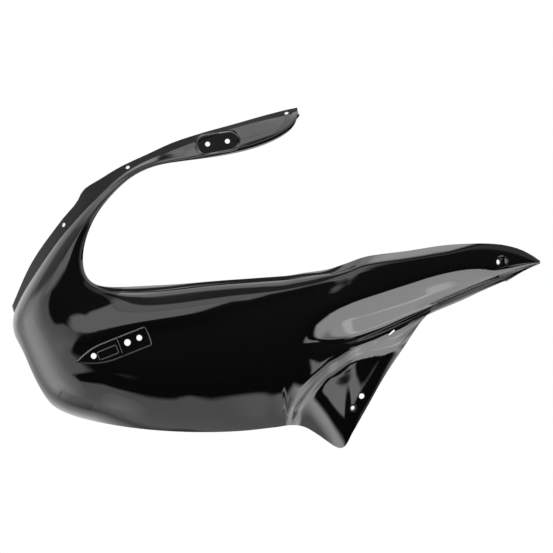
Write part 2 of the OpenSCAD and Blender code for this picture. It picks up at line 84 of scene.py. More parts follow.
# Side view and widths in millimetres, X to the tail, Y to the right, Z up.
# Stations round the ribbon: cockpit edge x and z, outer edge x and z, half width of the
# body, and how squarely the section turns toward the outer edge
STATIONS = np.array([
    (37, 278, 36, 283, 172, 1.1),
    (28, 254, 15, 275, 178, 1.1),
    (-7, 231, -22, 267, 182, 1.1),
    (-54, 215, -71, 254, 184, 1.1),
    (-105, 205, -122, 237, 185, 1.1),
    (-156, 198, -172, 217, 181, 1.1),
    (-204, 190, -216, 200, 175, 1.2),
    (-245, 171, -257, 178, 171, 1.3),
    (-277, 142, -293, 148, 169, 1.5),
    (-303, 110, -326, 116, 170, 1.9),
    (-321, 72, -367, 71, 172, 2.7),
    (-328, 35, -410, 9, 174, 3.6),
    (-323, 4, -449, -69, 175, 4.3),
    (-303, -13, -430, -127, 176, 4.4),
    (-269, -16, -394, -208, 180, 4.3),
    (-223, -14, -320, -241, 188, 4.1),
    (-163, -11, -214, -259, 198, 3.8),
    (-95, -5, -104, -263, 207, 3.6),
    (-20, 0, -20, -258, 213, 3.5),
    (44, 6, 44, -253, 215, 3.5),
    (108, 20, 108, -290, 214, 3.2),
    (172, 39, 172, -200, 210, 3.0),
    (236, 47, 236, -98, 204, 3.0),
    (300, 56, 300, -46, 196, 3.0),
    (364, 58, 364, -17, 187, 3.0),
    (428, 42, 428, 14, 177, 3.0),
    (492, 26, 492, 34, 167, 3.0),
], float)
AT_BEAK, AT_CHIN, AT_UPRIGHT = 12, 15, 18
UPRIGHT_X, PITCH, TAIL_X = -20.0, 64.0, 449.0

TOP_LINE = [
    (-44, -1), (17, 3), (48, 8), (88, 14), (119, 24), (150, 35), (180, 40), (221, 45),
    (287, 55), (342, 58), (374, 57), (394, 54), (415, 48), (435, 38), (449, 28.5),
]
BELLY_LINE = [
    (-44, -259), (-3, -255), (27, -251), (48, -254), (68, -265), (88, -279), (100, -287),
    (110, -290), (119, -285), (129, -266),
]
FLAP_BACK = [(129, -266), (154, -222), (185, -167), (221, -113), (245, -77), (257, -64)]
TAIL_LINE = [
    (257, -64), (272, -57), (313, -40), (354, -21), (384, -8), (405, 2), (425, 13), (449, 23.5),
]
BROW_LINE = [
    (-316, -89), (-258, -81), (-197, -71), (-129, -60), (-78, -49), (-27, -39), (41, -23),
    (92, -9), (139, 5), (211, 16), (279, 26), (381, 35), (449, 26),
]
FACET_LINE = [
    (41, -69), (92, -54), (150, -35), (233, -8), (304, 11), (347, 14), (367, 8), (449, 26),
]
RIDGE_LINE = [
    (41, -79), (61, -77), (122, -69), (178, -56), (233, -40), (287, -22), (362, 3), (449, 26),
]
CREASE_LINE = [
    (41, -115), (122, -106), (165, -92), (233, -62), (314, -26), (369, -4), (449, 25),
]
TROUGH_LINE = [
    (17, -251), (29, -220), (36, -205), (63, -169), (88, -145), (104, -135), (134, -115),
    (165, -105), (206, -93), (233, -77), (257, -63),
]
BROW_SHARE = [(-275, 0), (-215, 0.2), (-130, 0.45), (-27, 1), (41, 1), (109, 0.35), (146, 0)]
CHEEK_LINE = [(-372, -114), (-316, -98), (-258, -82), (-197, -71), (-129, -60), (-60, -46)]
CHEEK_SHARE = [(-372, 0), (-345, 0.7), (-300, 1), (-190, 1), (-120, 0.6), (-60, 0)]
EDGE_LINE = [
    (-146, 148), (-104, 156), (-20, 168), (44, 180), (109, 190), (173, 193), (238, 190),
    (303, 182), (367, 174), (449, 164),
]
FLANGE_LINE = [
    (0, 36, 290), (1, 12, 285), (2, -26, 275), (3, -75, 261), (4, -126, 247), (5, -175, 231),
    (6, -221, 210), (7, -264, 190), (8, -299, 169), (8.85, -328, 150), (9.35, -340, 128),
    (10, -367, 96), (11, -415, 28), (12, -449, -47),
]
PLAN_POWER, LAMP_POWER = 2.4, 3.0
LAMP_FROM, LAMP_TO = 12.5, 14.25
SCREEN_DEPTH, BELLY_DEPTH, BELLY_HALF, BELLY_BLEND = 200.0, 187.0, 150.0, (-180, -104)

# The shoulder leans in below the cockpit edge; stations where it starts and where it drops
SHOULDER_LEAN, SHOULDER_RUN, SHOULDER_DROP = 26.0, 70.0, 0.55
SHOULDER_IN, SHOULDER_OUT = (12.5, 15.5), (19, 22)
# The cockpit rim is rolled, more and wider round the front
RIM_ROLL, FRONT_ROLL, FRONT_WIDTH = 6.0, 10.0, 8.0
FRONT_IN, FRONT_OUT, RIM_OUT = (8, 11), (14, 17), (19, 20.5)
# How far the brow and the band over the pocket fade above and below, and where they start
BROW_FOLD, BROW_ABOVE, BROW_BELOW, BROW_DIP, BROW_FROM = 6.0, 45.0, 75.0, 0.5, 14.0
CHEEK_ABOVE, CHEEK_BELOW, CHEEK_FROM = 48.0, 26.0, 12.5
# Slopes of the tail's facet above and below the ridge and below the crease
FACET_IN, FACET_SLOPE, RIDGE_SLOPE, CREASE_SLOPE, CREASE_BAND = (20, 140), 0.42, 0.62, 0.9, 9.0
SHELF_DEPTH, SHELF_WIDTH, SHELF_IN, SHELF_OUT = 9.0, 14.0, (34, 126), (279, 357)
TROUGH_IN, TROUGH_END, TROUGH_RAMP = (17, 41), 258, 27.0
# Where the rows of facets lie across the skin where no fold runs, and where the folds take them over
NO_BROW, NO_RIDGE, NO_CREASE, BEFORE_TROUGH, AFTER_TROUGH = 0.3, 0.45, 0.64, 0.78, 0.5
TO_FLANK, TO_TAIL, TO_FLAP = (13.6, 15.4), (18, 19.5), (17, 19)
# Facets across the skin from one fold to the next, and over the lip or flange at the outer edge
ACROSS, EDGE_ROWS = (10, 11, 8, 8, 6, 15), 10
# Depth of the cockpit lip at its shallow ends, the stations and x where it gains and loses its full
# depth, and how deep its rows lie
LIP_LEAST, LIP_IN, LIP_OUT, LIP_SHARES = 0.6, (0, 0.8), (380, 440), (1.0, 0.7, 0.4, 0.15)
# Flange: how far in from the screen opening it lies, how far short of its line it stops, and where
# across it the holes are
FLANGE_INSET, FLANGE_SHORT, SCREEN_HOLE_SHARE = 12.0, 1.5, 0.55

# Mirror pad: middle, lean and tilt, outline, the widths over which it blends in outside and inside,
# the box that it is looked for in, and its stations
PAD = {"x": -99.5, "w": 172.5, "z": 229.5, "tilt": 8.5, "lean": 12.0, "half": 20.5, "r": 14.5}
PAD_BLEND, PAD_BACK_BLEND, PAD_REACH, PAD_OUTSIDE = 4.5, 4.0, (60, 45), -100
PAD_FROM, PAD_TO = 2.5, 4.85
SCREEN_HOLES = [0.85, 3.93, 6.8, 9.9]
# Pocket: station and place across of its front, rear and middle, and the arcs of its outline
POCKET_FRONT, POCKET_REAR, POCKET_MIDDLE = (14.5, 0.555), (15.36, 0.379), (14.89, 0.458)
LEAF_TOP, LEAF_BOTTOM, LEAF_REAR, LEAF_DROP, LEAF_END = 13.6, 18.4, 59.0, 2.0, 50.0
TOP_RADIUS, BOTTOM_RADIUS, REAR_RADIUS, TOP_START, BOTTOM_START = 106.0, 122.5, 90.0, -20.0, -5.0
FLOOR_FILLET, TUB_SEAT = 0.8, 2.3
# In the pocket's floor: corners of the shallow channel, the rib across it, and the cable hole
CHANNEL, CHANNEL_DEPTH, CHANNEL_CORNER = [(-34, -10.6), (1, -10.6), (1, 3.6), (-34, 3.6)], 1.2, 2.0
RIB_FROM, RIB_TO, RIB_HEIGHT, RIB_SPAN = 6.0, 8.0, 3.0, 25.0
CABLE_RADIUS, CABLE_AT = 5.75, 20.3
# Side flap and tail: places of the holes in the side view, their radii, the seat of the pin hole,
# the slot's half length and turn, the tail's cup, and the collars round the two seated holes
FLAP_HOLE, FLAP_PIN, SLOT_AT, TAIL_HOLE = (146, -202), (131, -222), (197, -94), (385, 27)
FLAP_RADIUS, PIN_RADIUS, PIN_SEAT, PIN_DEPTH, TAIL_RADIUS = 4.75, 3.5, 6.75, 1.2, 4.25
SLOT_HALF, SLOT_RADIUS, SLOT_TURN = 5.0, 1.5, 42
CUP = {"r": 9.0, "depth": 11.0, "turn": 28.0, "seat": 1.0}
PIN_COLLAR, TAIL_COLLAR = 4.9, 5.7
# Ends of the bead along the rib, and how far it is sunk in
RIB_LOW, RIB_HIGH, RIB_SUNK = -14.0, 13.0, 0.1
# How far a cut reaches through the wall, and sides of a hole, a cup and a collar
THROUGH, SIDES, CUP_SIDES, COLLAR_SIDES = 12.0, 48, 64, 40
# Finish of a face, and the angle in degrees past which an edge is sharp
GLOSS, BACK, DULL = 0, 1, 2
SHARP_ANGLE = 58

# Dust on the plastic: noise values between which specks and smears show, how much they roughen it,
# and how far and to what colour the specks pale it
SPECKS, SMEARS, SPECK_ROUGH, SMEAR_ROUGH, SPECK_PALE = (0.72, 0.78), (0.45, 0.75), 0.3, 0.06, 0.25
DUST_COLOUR = (0.12, 0.12, 0.12, 1)

# Corners of the floor, and how far below the fairing it lies, in metres
FLOOR, FLOOR_GAP = ((-2.2, -1.15), (2.2, -1.15), (2.2, 2.2), (-2.2, 2.2)), 0.0005
# Large lights of the studio as fades: what is measured in degrees, where the fade starts and ends,
# and its strength at both. "turn" is to the right of straight ahead, "rise" above the horizon,
# "behind" is the turn to either side, "end" past the left box's end, "edge" over the low box's edge
LEFT_BOX = (
    ("turn", -70, -22, 2.5, 0.9), ("end", -3, 1.5, 1, 0), ("turn", -140, -80, 0.22, 1),
    ("rise", -75, -42, 0.3, 1), ("rise", -15, 20, 1, 0.65), ("rise", 16, 26, 1, 0.25),
)
LOW_BOX = (
    ("turn", -12, 14, 0.8, 2.9), ("edge", -2.5, 2.5, 1, 0), ("turn", 70, 120, 1, 0.25),
    ("behind", 100, 155, 1, 0.3),
)
LOW_BOX_DIM = (("turn", 38, 50, 0, 0.5), ("rise", -43, -36, 0, 1))
CEILING = (("rise", 34, 42, 0, 1.05), ("turn", -15, 5, 1, 0.3))
TOP_BOX = (("rise", 64, 70, 0, 1.4), ("rise", 74, 84, 1, 1.9), ("turn", -20, 20, 1, 0.4))
ROOM = (("behind", 80, 130, 0.02, 0.36), ("rise", -30, 20, 0.7, 2.0))
BEAM = (("behind", 140, 150, 0, 0.92), ("rise", 49, 53, 0, 1), ("rise", 76, 80, 1, 0))
# The left box ends further left below the horizon: rise from and to, and its end at both
LEFT_END = (-31, -21, -28, -18)
# The low box's upper edge: the turn from which it rises, how steeply, its least and its greatest rise
EDGE_FROM, EDGE_SLOPE, EDGE_LOW, EDGE_HIGH = -12.0, 0.95, -38.0, -24.5
# Small lights and a dark band: turn and rise at which each starts, is full, starts to fade and ends,
# and its strength
FLAP_LIGHT = ((21, 26, 39, 43), (-17, -15.5, -10, -8), 1.6)
LOW_STREAK = ((30, 44, 66, 84), (-61, -56, -53, -46), 4.2)
CHEEK_LIGHT = ((-45, -35, -12, -8), (4, 10, 36, 46), 1.25)
CEILING_GAP = ((-52, -42, 20, 30), (52, 55, 66, 70), 0.85)


def mix(a, b, f):
    return a + (b - a) * f


def smooth(a, b, x):
    f = np.clip((np.asarray(x, float) - a) / (b - a), 0, 1)
    return f * f * (3 - 2 * f)


def between(span, x):
    """0 before the span, 1 after it, and smooth between."""
    return smooth(*span, x)


def curve(table, x, column=1):
    """Smooth curve through a table's rows."""
    rows = np.array(table, float)
    xs, ys = rows[:, 0], rows[:, column]
    x = np.asarray(x, float)
    n = len(xs)
    below, above = np.maximum(np.arange(n) - 1, 0), np.minimum(np.arange(n) + 1, n - 1)
    slopes = (ys[above] - ys[below]) / (xs[above] - xs[below])
    i = np.clip(np.searchsorted(xs, x, "right") - 1, 0, n - 2)
    h = xs[i + 1] - xs[i]
    f = (x - xs[i]) / h
    a, b, ma, mb = ys[i], ys[i + 1], slopes[i] * h, slopes[i + 1] * h
    bend = (
        (2 * f**3 - 3 * f**2 + 1) * a + (f**3 - 2 * f**2 + f) * ma
        + (3 * f**2 - 2 * f**3) * b + (f**3 - f**2) * mb
    )
    return np.where(f > 1, b + mb * (f - 1), bend)


def spline(u):
    """Stations at u, by a cubic B-spline that passes through them."""
    last = len(STATIONS) - 1
    rows = np.vstack([
        2 * STATIONS[0] - STATIONS[2], 2 * STATIONS[0] - STATIONS[1], STATIONS,
        2 * STATIONS[last] - STATIONS[last - 1], 2 * STATIONS[last] - STATIONS[last - 2],
    ])
    control = rows[1:-1] - (rows[:-2] - 2 * rows[1:-1] + rows[2:]) / 6
    u = np.asarray(u, float)
    i = np.clip(np.floor(u).astype(int), 0, last - 1)
    f = (u - i)[..., None]
    return (
        (1 - f) ** 3 * control[i] + (3 * f**3 - 6 * f**2 + 4) * control[i + 1]
        + (1 + 3 * f + 3 * f**2 - 3 * f**3) * control[i + 2] + f**3 * control[i + 3]
    ) / 6


def u_shape(x, apex, depth, half):
    """Plan view of an opening's edge that starts at the middle plane at x = apex."""
    return half * (1 - np.clip((apex + depth - x) / depth, 0, 1) ** PLAN_POWER) ** (1 / PLAN_POWER)


def unit(v):
    return v / np.maximum(np.linalg.norm(v, axis=-1, keepdims=True), 1e-9)


def shown(table, on, x):
    """How much of a fold's height shows at x, where it is on."""
    on = on & (x > table[0][0]) & (x < table[-1][0])
    return np.where(on, np.maximum(0, curve(table, x)), 0)


class Form:
    """The fairing's left half as a ribbon, from the sizes in the panel."""

    def __init__(self, sizes):
        self.wall = sizes.wall / MM
        self.lip = sizes.lip_depth / MM
        self.step = sizes.flange_step / MM
        self.rim = sizes.rim_width / MM
        self.brow = sizes.brow_depth / MM
        self.cheek = sizes.cheek_depth / MM
        self.dip = sizes.trough_depth / MM
        self.lamp_half = sizes.lamp_width / MM / 2
        self.screen_half = sizes.screen_width / MM / 2
        self.apex_x = float(spline(AT_BEAK)[2])
        self.chin_x = float(spline(AT_CHIN)[2])

    def outer_z(self, x):
        return np.where(
            x <= FLAP_BACK[0][0], curve(BELLY_LINE, x),
            np.where(x <= FLAP_BACK[-1][0], curve(FLAP_BACK, x), curve(TAIL_LINE, x)),
        )

    def belly_edge(self, x):
        base = u_shape(x, self.chin_x, BELLY_DEPTH, BELLY_HALF)
        return np.where(
            x < BELLY_BLEND[0], base, mix(base, curve(EDGE_LINE, x), between(BELLY_BLEND, x)))

    def station(self, u):
        """Cockpit edge x and z, outer edge x and z, half width, power, outer half width."""
        u = np.asarray(u, float)
        s = spline(u)
        k = smooth(AT_UPRIGHT - 0.5, AT_UPRIGHT + 0.5, u)
        x = UPRIGHT_X + (u - AT_UPRIGHT) * PITCH
        ox = mix(s[..., 2], x, k)
        edge = np.where(
            u < AT_BEAK, u_shape(ox, self.apex_x, SCREEN_DEPTH, self.screen_half),
            np.where(u <= AT_CHIN, 0, self.belly_edge(ox)),
        )
        return np.stack([
            mix(s[..., 0], x, k), mix(s[..., 1], curve(TOP_LINE, x), k), ox,
            mix(s[..., 3], self.outer_z(x), k), s[..., 4], s[..., 5], edge,
        ], -1)

    def skin(self, u, t):
        """Points of the outer skin at stations u (n) and places t across (n, m)."""
        u = np.asarray(u, float)[:, None]
        s = self.station(u[:, 0])[:, None, :]
        x, z = mix(s[..., 0], s[..., 2], t), mix(s[..., 1], s[..., 3], t)
        run = np.hypot(s[..., 2] - s[..., 0], s[..., 3] - s[..., 1])
        gone = t * run
        p = s[..., 5]
        body = (s[..., 4] ** p * (1 - t**p) + s[..., 6] ** p * t**p) ** (1 / p)
        shoulder = SHOULDER_LEAN * between(SHOULDER_IN, u) * (1 - SHOULDER_DROP * between(SHOULDER_OUT, u))
        lean = shoulder * np.maximum(0, 1 - gone / SHOULDER_RUN) ** 2 * (1 - t)
        front = between(FRONT_IN, u) * (1 - between(FRONT_OUT, u))
        turn = np.maximum(0, 1 - gone / (self.rim + FRONT_WIDTH * front)) ** 2
        roll = (RIM_ROLL + FRONT_ROLL * front) * (1 - between(RIM_OUT, u)) * turn
        share = shown(BROW_SHARE, u > BROW_FROM, x)
        under = curve(BROW_LINE, x) - z
        fold = smooth(0, BROW_FOLD, under) - BROW_DIP * smooth(-BROW_ABOVE, 0, under)
        brow = self.brow * share * (1 - smooth(0, BROW_BELOW, under)) * fold
        share = shown(CHEEK_SHARE, u > CHEEK_FROM, x)
        under = curve(CHEEK_LINE, x) - z
        cheek = -self.cheek * share * smooth(-CHEEK_ABOVE, 0, under) * (1 - smooth(0, CHEEK_BELOW, under))
        tail_on = np.where(u > AT_UPRIGHT, between(FACET_IN, x), 0)
        facet_z, ridge_z, crease_z = (curve(line, x) for line in (FACET_LINE, RIDGE_LINE, CREASE_LINE))
        facet = tail_on * (
            FACET_SLOPE * np.clip(facet_z - z, 0, np.maximum(facet_z - ridge_z, 0))
            + RIDGE_SLOPE * np.clip(ridge_z - z, 0, np.maximum(ridge_z - crease_z, 0))
            - CREASE_SLOPE * np.clip(crease_z - z, 0, CREASE_BAND)
        )
        shelf_on = np.where(u > AT_UPRIGHT, between(SHELF_IN, x) * (1 - between(SHELF_OUT, x)), 0)
        shelf = SHELF_DEPTH * shelf_on * np.maximum(0, 1 - gone / (SHELF_WIDTH * shelf_on + 0.1))
        trough_on = np.where((x > TROUGH_IN[0]) & (x < TROUGH_END), between(TROUGH_IN, x), 0)
        trough = trough_on * self.dip * smooth(0, TROUGH_RAMP, curve(TROUGH_LINE, x) - z)
        w = body - lean - roll - brow - cheek - facet - shelf - trough
        return np.stack([x, -w, z], -1)

    def point(self, u, t):
        return self.skin(np.array([u]), np.array([[t]]))[0, 0]

    def normal(self, u, t, du=0.02, dt=0.02):
        a = self.point(u, t + dt) - self.point(u, t - dt)
        b = self.point(u + du, t) - self.point(u - du, t)
        return unit(np.cross(a, b))

    def flange(self, u):
        """Outer edge of the screen flange."""
        u = np.asarray(u, float)
        x = curve(FLANGE_LINE, u, 1)
        y = -u_shape(x, FLANGE_LINE[-1][1], SCREEN_DEPTH, self.screen_half - FLANGE_INSET)
        return np.stack([x, y, curve(FLANGE_LINE, u, 2)], -1)

    def breaks(self, u):
        """Places across that the rows of facets keep to: brow, ridge, crease, trough."""
        s = self.station(u)
        x, drop = s[:, 0], s[:, 1] - s[:, 3]

        def t_of(z):
            return (s[:, 1] - z) / drop

        brow = mix(NO_BROW, t_of(curve(BROW_LINE, x)), between(TO_FLANK, u))
        to_tail = between(TO_TAIL, u)
        ridge = np.maximum(mix(NO_RIDGE, t_of(curve(RIDGE_LINE, x)), to_tail), brow * 1.1)
        crease = np.maximum(mix(NO_CREASE, t_of(curve(CREASE_LINE, x)), to_tail), brow * 1.2)
        behind = np.where(x > TROUGH_END, AFTER_TROUGH, t_of(curve(TROUGH_LINE, x)))
        dip = np.where(x < TROUGH_IN[0], BEFORE_TROUGH, behind)
        trough = np.clip(dip, crease + 0.2 * (1 - crease), crease + 0.7 * (1 - crease))
        foot = trough + np.minimum(TROUGH_RAMP / drop, 0.6 * (1 - trough))
        foot = mix(trough + 0.5 * (1 - trough), foot, between(TO_FLAP, u))
        return np.stack([0 * u, brow, ridge, crease, trough, foot, 0 * u + 1], -1)

    def end_t(self, u):
        """Where the skin stops at the headlamp opening."""
        q = np.abs((2 * u - LAMP_FROM - LAMP_TO) / (LAMP_TO - LAMP_FROM))
        inside = self.lamp_half * (1 - np.minimum(q, 1) ** LAMP_POWER) ** (1 / LAMP_POWER)
        s = self.station(u)
        return (1 - (inside / s[:, 4]) ** s[:, 5]) ** (1 / s[:, 5])

    def rows(self, u, counts):
        """Places across for each station, evenly spaced along the skin between the breaks."""
        close = 1 - 10 ** -np.linspace(0.5, 9, 120)
        fine = np.unique(np.concatenate([np.linspace(0, 1, 260), close]))
        ends = self.end_t(u)
        marks = self.breaks(u) * ends[:, None]
        grid = fine[None, :] * ends[:, None]
        points = self.skin(u, grid)
        steps = np.linalg.norm(np.diff(points, axis=1), axis=-1)
        length = np.concatenate([np.zeros((len(u), 1)), np.cumsum(steps, 1)], 1)
        out = []
        for i in range(len(u)):
            at = np.interp(marks[i], grid[i], length[i])
            want = np.concatenate(
                [spread(at[k], at[k + 1], n) for k, n in enumerate(counts)] + [at[-1:]])
            out.append(np.interp(want, length[i], grid[i]))
        out = np.array(out)
        out[:, -1] = ends
        return out


def spread(a, b, n):
    return np.linspace(a, b, n, endpoint=False)


def stations_along(density):
    """Stations for the mesh, closer together at the mirror pad and where the edges turn across."""

    def n(k):
        return max(2, int(round(k * density)))

    mid, span = (LAMP_FROM + LAMP_TO) / 2, (LAMP_TO - LAMP_FROM) / 2
    turn = np.radians(spread(0, 180, n(10)))
    lamp = mid - span * np.sign(np.cos(turn)) * np.abs(np.cos(turn)) ** (2 / LAMP_POWER)
    tip_x, back_x, back_end_x = 88, FLAP_BACK[0][0], FLAP_BACK[-1][0]
    x = np.concatenate([
        spread(UPRIGHT_X, tip_x, n(8)), spread(tip_x, back_x, n(4)), spread(back_x, back_end_x, n(6)),
        spread(back_end_x, TAIL_X, n(7)), [TAIL_X],
    ])
    return np.concatenate([
        spread(0, PAD_FROM, n(5)), spread(PAD_FROM, PAD_TO, n(30)), spread(PAD_TO, AT_BEAK - 1, n(10)),
        AT_BEAK - spread(1, 0, n(6)) ** PLAN_POWER, spread(AT_BEAK, LAMP_FROM, n(2)), lamp,
        spread(LAMP_TO, AT_CHIN, n(3)), AT_CHIN + spread(0, 1, n(5)) ** PLAN_POWER,
        spread(AT_CHIN + 1, AT_UPRIGHT, n(4)), AT_UPRIGHT + (x - UPRIGHT_X) / PITCH,
    ])


def grid_normals(grid):
    """Outward normals of a grid of points of the left half."""
    a = np.empty_like(grid)
    a[1:-1], a[0], a[-1] = grid[2:] - grid[:-2], grid[1] - grid[0], grid[-1] - grid[-2]
    b = np.empty_like(grid)
    b[:, 1:-1] = grid[:, 2:] - grid[:, :-2]
    b[:, 0], b[:, -1] = grid[:, 1] - grid[:, 0], grid[:, -1] - grid[:, -2]
    n = np.cross(b, a)
    n[np.abs(grid[..., 1]) < 1e-3, 1] = 0
    return unit(n)


def pad_frame():
    """Centre, outward axis, long axis and cross axis of the left mirror pad."""
    lean, tilt = math.radians(PAD["lean"]), math.radians(PAD["tilt"])
    n = np.array([0, -math.cos(lean), math.sin(lean)])
    a = np.array([math.cos(tilt), 0, math.sin(tilt)])
    a = unit(a - (a @ n) * n)
    return np.array([PAD["x"], -PAD["w"], PAD["z"]]), n, a, np.cross(n, a)


def press_pad(points, shrink, depth, blend):
    """Moves points of the arm onto the flat of the mirror pad, and gives how fully."""
    centre = pad_frame()[0]
    away = points - centre
    # side view distance from the pad's outline
    tilt = math.radians(PAD["tilt"])
    dx, dz = away[..., 0], away[..., 2]
    along = dx * math.cos(tilt) + dz * math.sin(tilt)
    across = dz * math.cos(tilt) - dx * math.sin(tilt)
    d = np.hypot(np.maximum(np.abs(along) - PAD["half"], 0), across) - (PAD["r"] - shrink)
    face_y = centre[1] + math.tan(math.radians(PAD["lean"])) * dz + depth
    share = 1 - smooth(0, 1, d / blend)
    near = (points[..., 1] < PAD_OUTSIDE) & (np.abs(dx) < PAD_REACH[0]) & (np.abs(dz) < PAD_REACH[1])
    share = np.where(near, share, 0)
    out = points.copy()
    out[..., 1] = mix(points[..., 1], face_y, share)
    return out, share


def shell_mesh(form, density):
    """Vertices and faces of the whole moulding, and which finish each face has."""
    u = stations_along(density)
    t = form.rows(u, ACROSS)
    main = form.skin(u, t)
    # rounds the folds over a few millimetres
    for _ in range(2):
        w = main[..., 1].copy()
        main[:, 2:-2, 1] = 0.25 * w[:, 1:-3] + 0.5 * w[:, 2:-2] + 0.25 * w[:, 3:-1]
    n = grid_normals(main)
    tail_x = UPRIGHT_X + (u - AT_UPRIGHT) * PITCH
    share = between(LIP_IN, u) * (1 - between(LIP_OUT, tail_x))
    depth = (LIP_LEAST + (form.lip - LIP_LEAST) * share)[:, None]
    lip = [main[:, 0] - n[:, 0] * depth * k for k in LIP_SHARES]
    end, end_n = main[:, -1], n[:, -1]
    foot = end - end_n * form.step
    edge = form.flange(np.minimum(u, AT_BEAK))
    outward = unit(edge - foot)
    edge = edge - outward * FLANGE_SHORT
    strips = [mix(foot, edge, f) for f in np.linspace(0, 1, EDGE_ROWS - 1)]
    strips = [end - end_n * form.step * 0.5] + strips
    lips = [end - end_n * depth * f for f in np.linspace(0, 1, EDGE_ROWS + 1)[1:]]
    on_flange = (u <= AT_BEAK)[:, None]
    outer = [np.where(on_flange, a, b) for a, b in zip(strips, lips)]
    outside = np.stack(lip + [main[:, j] for j in range(main.shape[1])] + outer, 1)
    first, last = len(lip), len(lip) + main.shape[1] - 1
    flat = np.abs(outside[..., 1]) < 0.02
    outside[flat, 1] = 0
    # inner side: skin moved in by the wall; lips that run out keep the skin's normal
    normals = grid_normals(outside)
    skin_n = np.concatenate(
        [np.repeat(n[:, :1], first, 1), n, np.repeat(n[:, -1:], len(outer), 1)], 1)
    lip_cols = np.zeros(outside.shape[:2], bool)
    lip_cols[:, :first + 1] = True
    lip_cols[:, last:] = ~on_flange
    k = share[:, None, None]
    normals = np.where(lip_cols[..., None], unit(mix(skin_n, normals, k)), normals)
    # the corner of a lip takes the mitre of its two sides
    inside = outside - form.wall * normals
    mitre = unit(mix(n[:, 0], normals[:, first - 1], 0.5 * k[:, 0]))
    inside[:, first] = outside[:, first] - form.wall * mitre
    inside[np.abs(outside[..., 1]) == 0, 1] = 0
    outside, on_pad = press_pad(outside, 0, 0, PAD_BLEND)
    inside, _ = press_pad(inside, form.wall, form.wall, PAD_BACK_BLEND)
    ni, nj = outside.shape[:2]
    # the mirror pads and the screen flange are left dull
    dull = on_pad > 0.97
    dull[:, last + 1:] |= on_flange
    dull = dull[:-1, :-1] & dull[1:, :-1] & dull[1:, 1:] & dull[:-1, 1:]
    half = ni * nj
    grids = (outside, inside, outside * MIRROR, inside * MIRROR)
    points = np.concatenate([g.reshape(-1, 3) for g in grids])
    # keeps the drawn skin within the solid's box
    points[:, 1] *= min(1.0, CAD_HIGH.y / MM / np.abs(points[:, 1]).max())
    points[:, 0] = np.minimum(points[:, 0], CAD_HIGH.x / MM)
    ids = np.arange(half).reshape(ni, nj)
    middle = [np.abs(g[..., 1]) == 0 for g in (outside, inside)]

    def index(layer, side):
        own = ids + layer * half
        return np.where(middle[layer], own, own + 2 * half) if side else own

    mid_u = (u[:-1] + u[1:]) / 2
    has_edge = (mid_u < AT_BEAK) | ((mid_u > LAMP_FROM) & (mid_u < LAMP_TO)) | (mid_u > AT_CHIN)
    faces, finish = [], []

    def add(a, b, c, d, turned, kind):
        quad = np.stack([a, b, c, d], -1).reshape(-1, 4)
        faces.append(quad if turned else quad[:, ::-1])
        finish.append(np.broadcast_to(kind, len(quad)))

    for side in (0, 1):
        for layer in (0, 1):
            g = index(layer, side)
            keep = np.ones((ni - 1, nj - 1), bool)
            keep[~has_edge, last:] = False
            a, b, c, d = g[:-1, :-1], g[1:, :-1], g[1:, 1:], g[:-1, 1:]
            kinds = np.where(dull[keep], DULL, GLOSS) if layer == 0 else BACK
            add(a[keep], b[keep], c[keep], d[keep], (layer + side) % 2 == 1, kinds)
        o, q = index(0, side), index(1, side)
        add(o[1:, 0], o[:-1, 0], q[:-1, 0], q[1:, 0], side == 1, GLOSS)
        e = has_edge
        add(o[:-1, -1][e], o[1:, -1][e], q[1:, -1][e], q[:-1, -1][e], side == 1, GLOSS)
        add(o[0, :-1], o[0, 1:], q[0, 1:], q[0, :-1], side == 1, GLOSS)
        add(o[-1, 1:], o[-1, :-1], q[-1, :-1], q[-1, 1:], side == 1, GLOSS)
    return points, np.concatenate(faces), np.concatenate(finish)


def placed(name, data):
    """A new object in the scene."""
    obj = bpy.data.objects.new(name, data)
    bpy.context.scene.collection.objects.link(obj)
    return obj


def keep_result(obj, modifier):
    """Puts the modifier's result in place of the object's mesh, and takes the modifier off."""
    graph = bpy.context.evaluated_depsgraph_get()
    result = bpy.data.meshes.new_from_object(
        obj.evaluated_get(graph), preserve_all_data_layers=True, depsgraph=graph)
    obj.modifiers.remove(modifier)
    old, obj.data = obj.data, result
    bpy.data.meshes.remove(old)


def new_mesh(name, points, faces, materials=()):
    """A mesh object from points in millimetres, with loose points left out."""
    faces = [tuple(f) for f in faces]
    used = sorted({i for f in faces for i in f})
    renumber = {old: new for new, old in enumerate(used)}
    mesh = bpy.data.meshes.new(name)
    mesh.from_pydata(
        [tuple(np.asarray(points[i], float) * MM) for i in used], [],
        [tuple(renumber[i] for i in f) for f in faces],
    )
    for m in materials:
        mesh.materials.append(m)
    return placed(name, mesh)


def loft(rings):
    """Points and faces of a closed body through rings of as many points, wound anticlockwise."""
    n = len(rings[0])
    faces = [tuple(range(n - 1, -1, -1)), tuple(range((len(rings) - 1) * n, len(rings) * n))]
    for r in range(len(rings) - 1):
        low, high = r * n, (r + 1) * n
        faces += [(low + k, low + (k + 1) % n, high + (k + 1) % n, high + k) for k in range(n)]
    return np.concatenate(rings), faces


def ring(outline, height):
    """A ring of points over an outline, at one height or at one for each point."""
    return np.column_stack([outline, np.broadcast_to(height, len(outline))])


def prism(outline, low, high):
    return loft([ring(outline, low), ring(outline, high)])


def circle(r, n=SIDES):
    a = np.arange(n) * 2 * math.pi / n
    return np.stack([r * np.cos(a), r * np.sin(a)], -1)


def stood(points, at, n, a):
    """Local points with Z along n and X near a, moved to at."""
    e1 = unit(a - (a @ n) * n)
    e2 = np.cross(n, e1)
    return at + points[:, :1] * e1 + points[:, 1:2] * e2 + points[:, 2:3] * n


def stood_body(body, at, n, a):
    """Points and faces of a closed body stood the same way."""
    return stood(body[0], at, n, a), body[1]


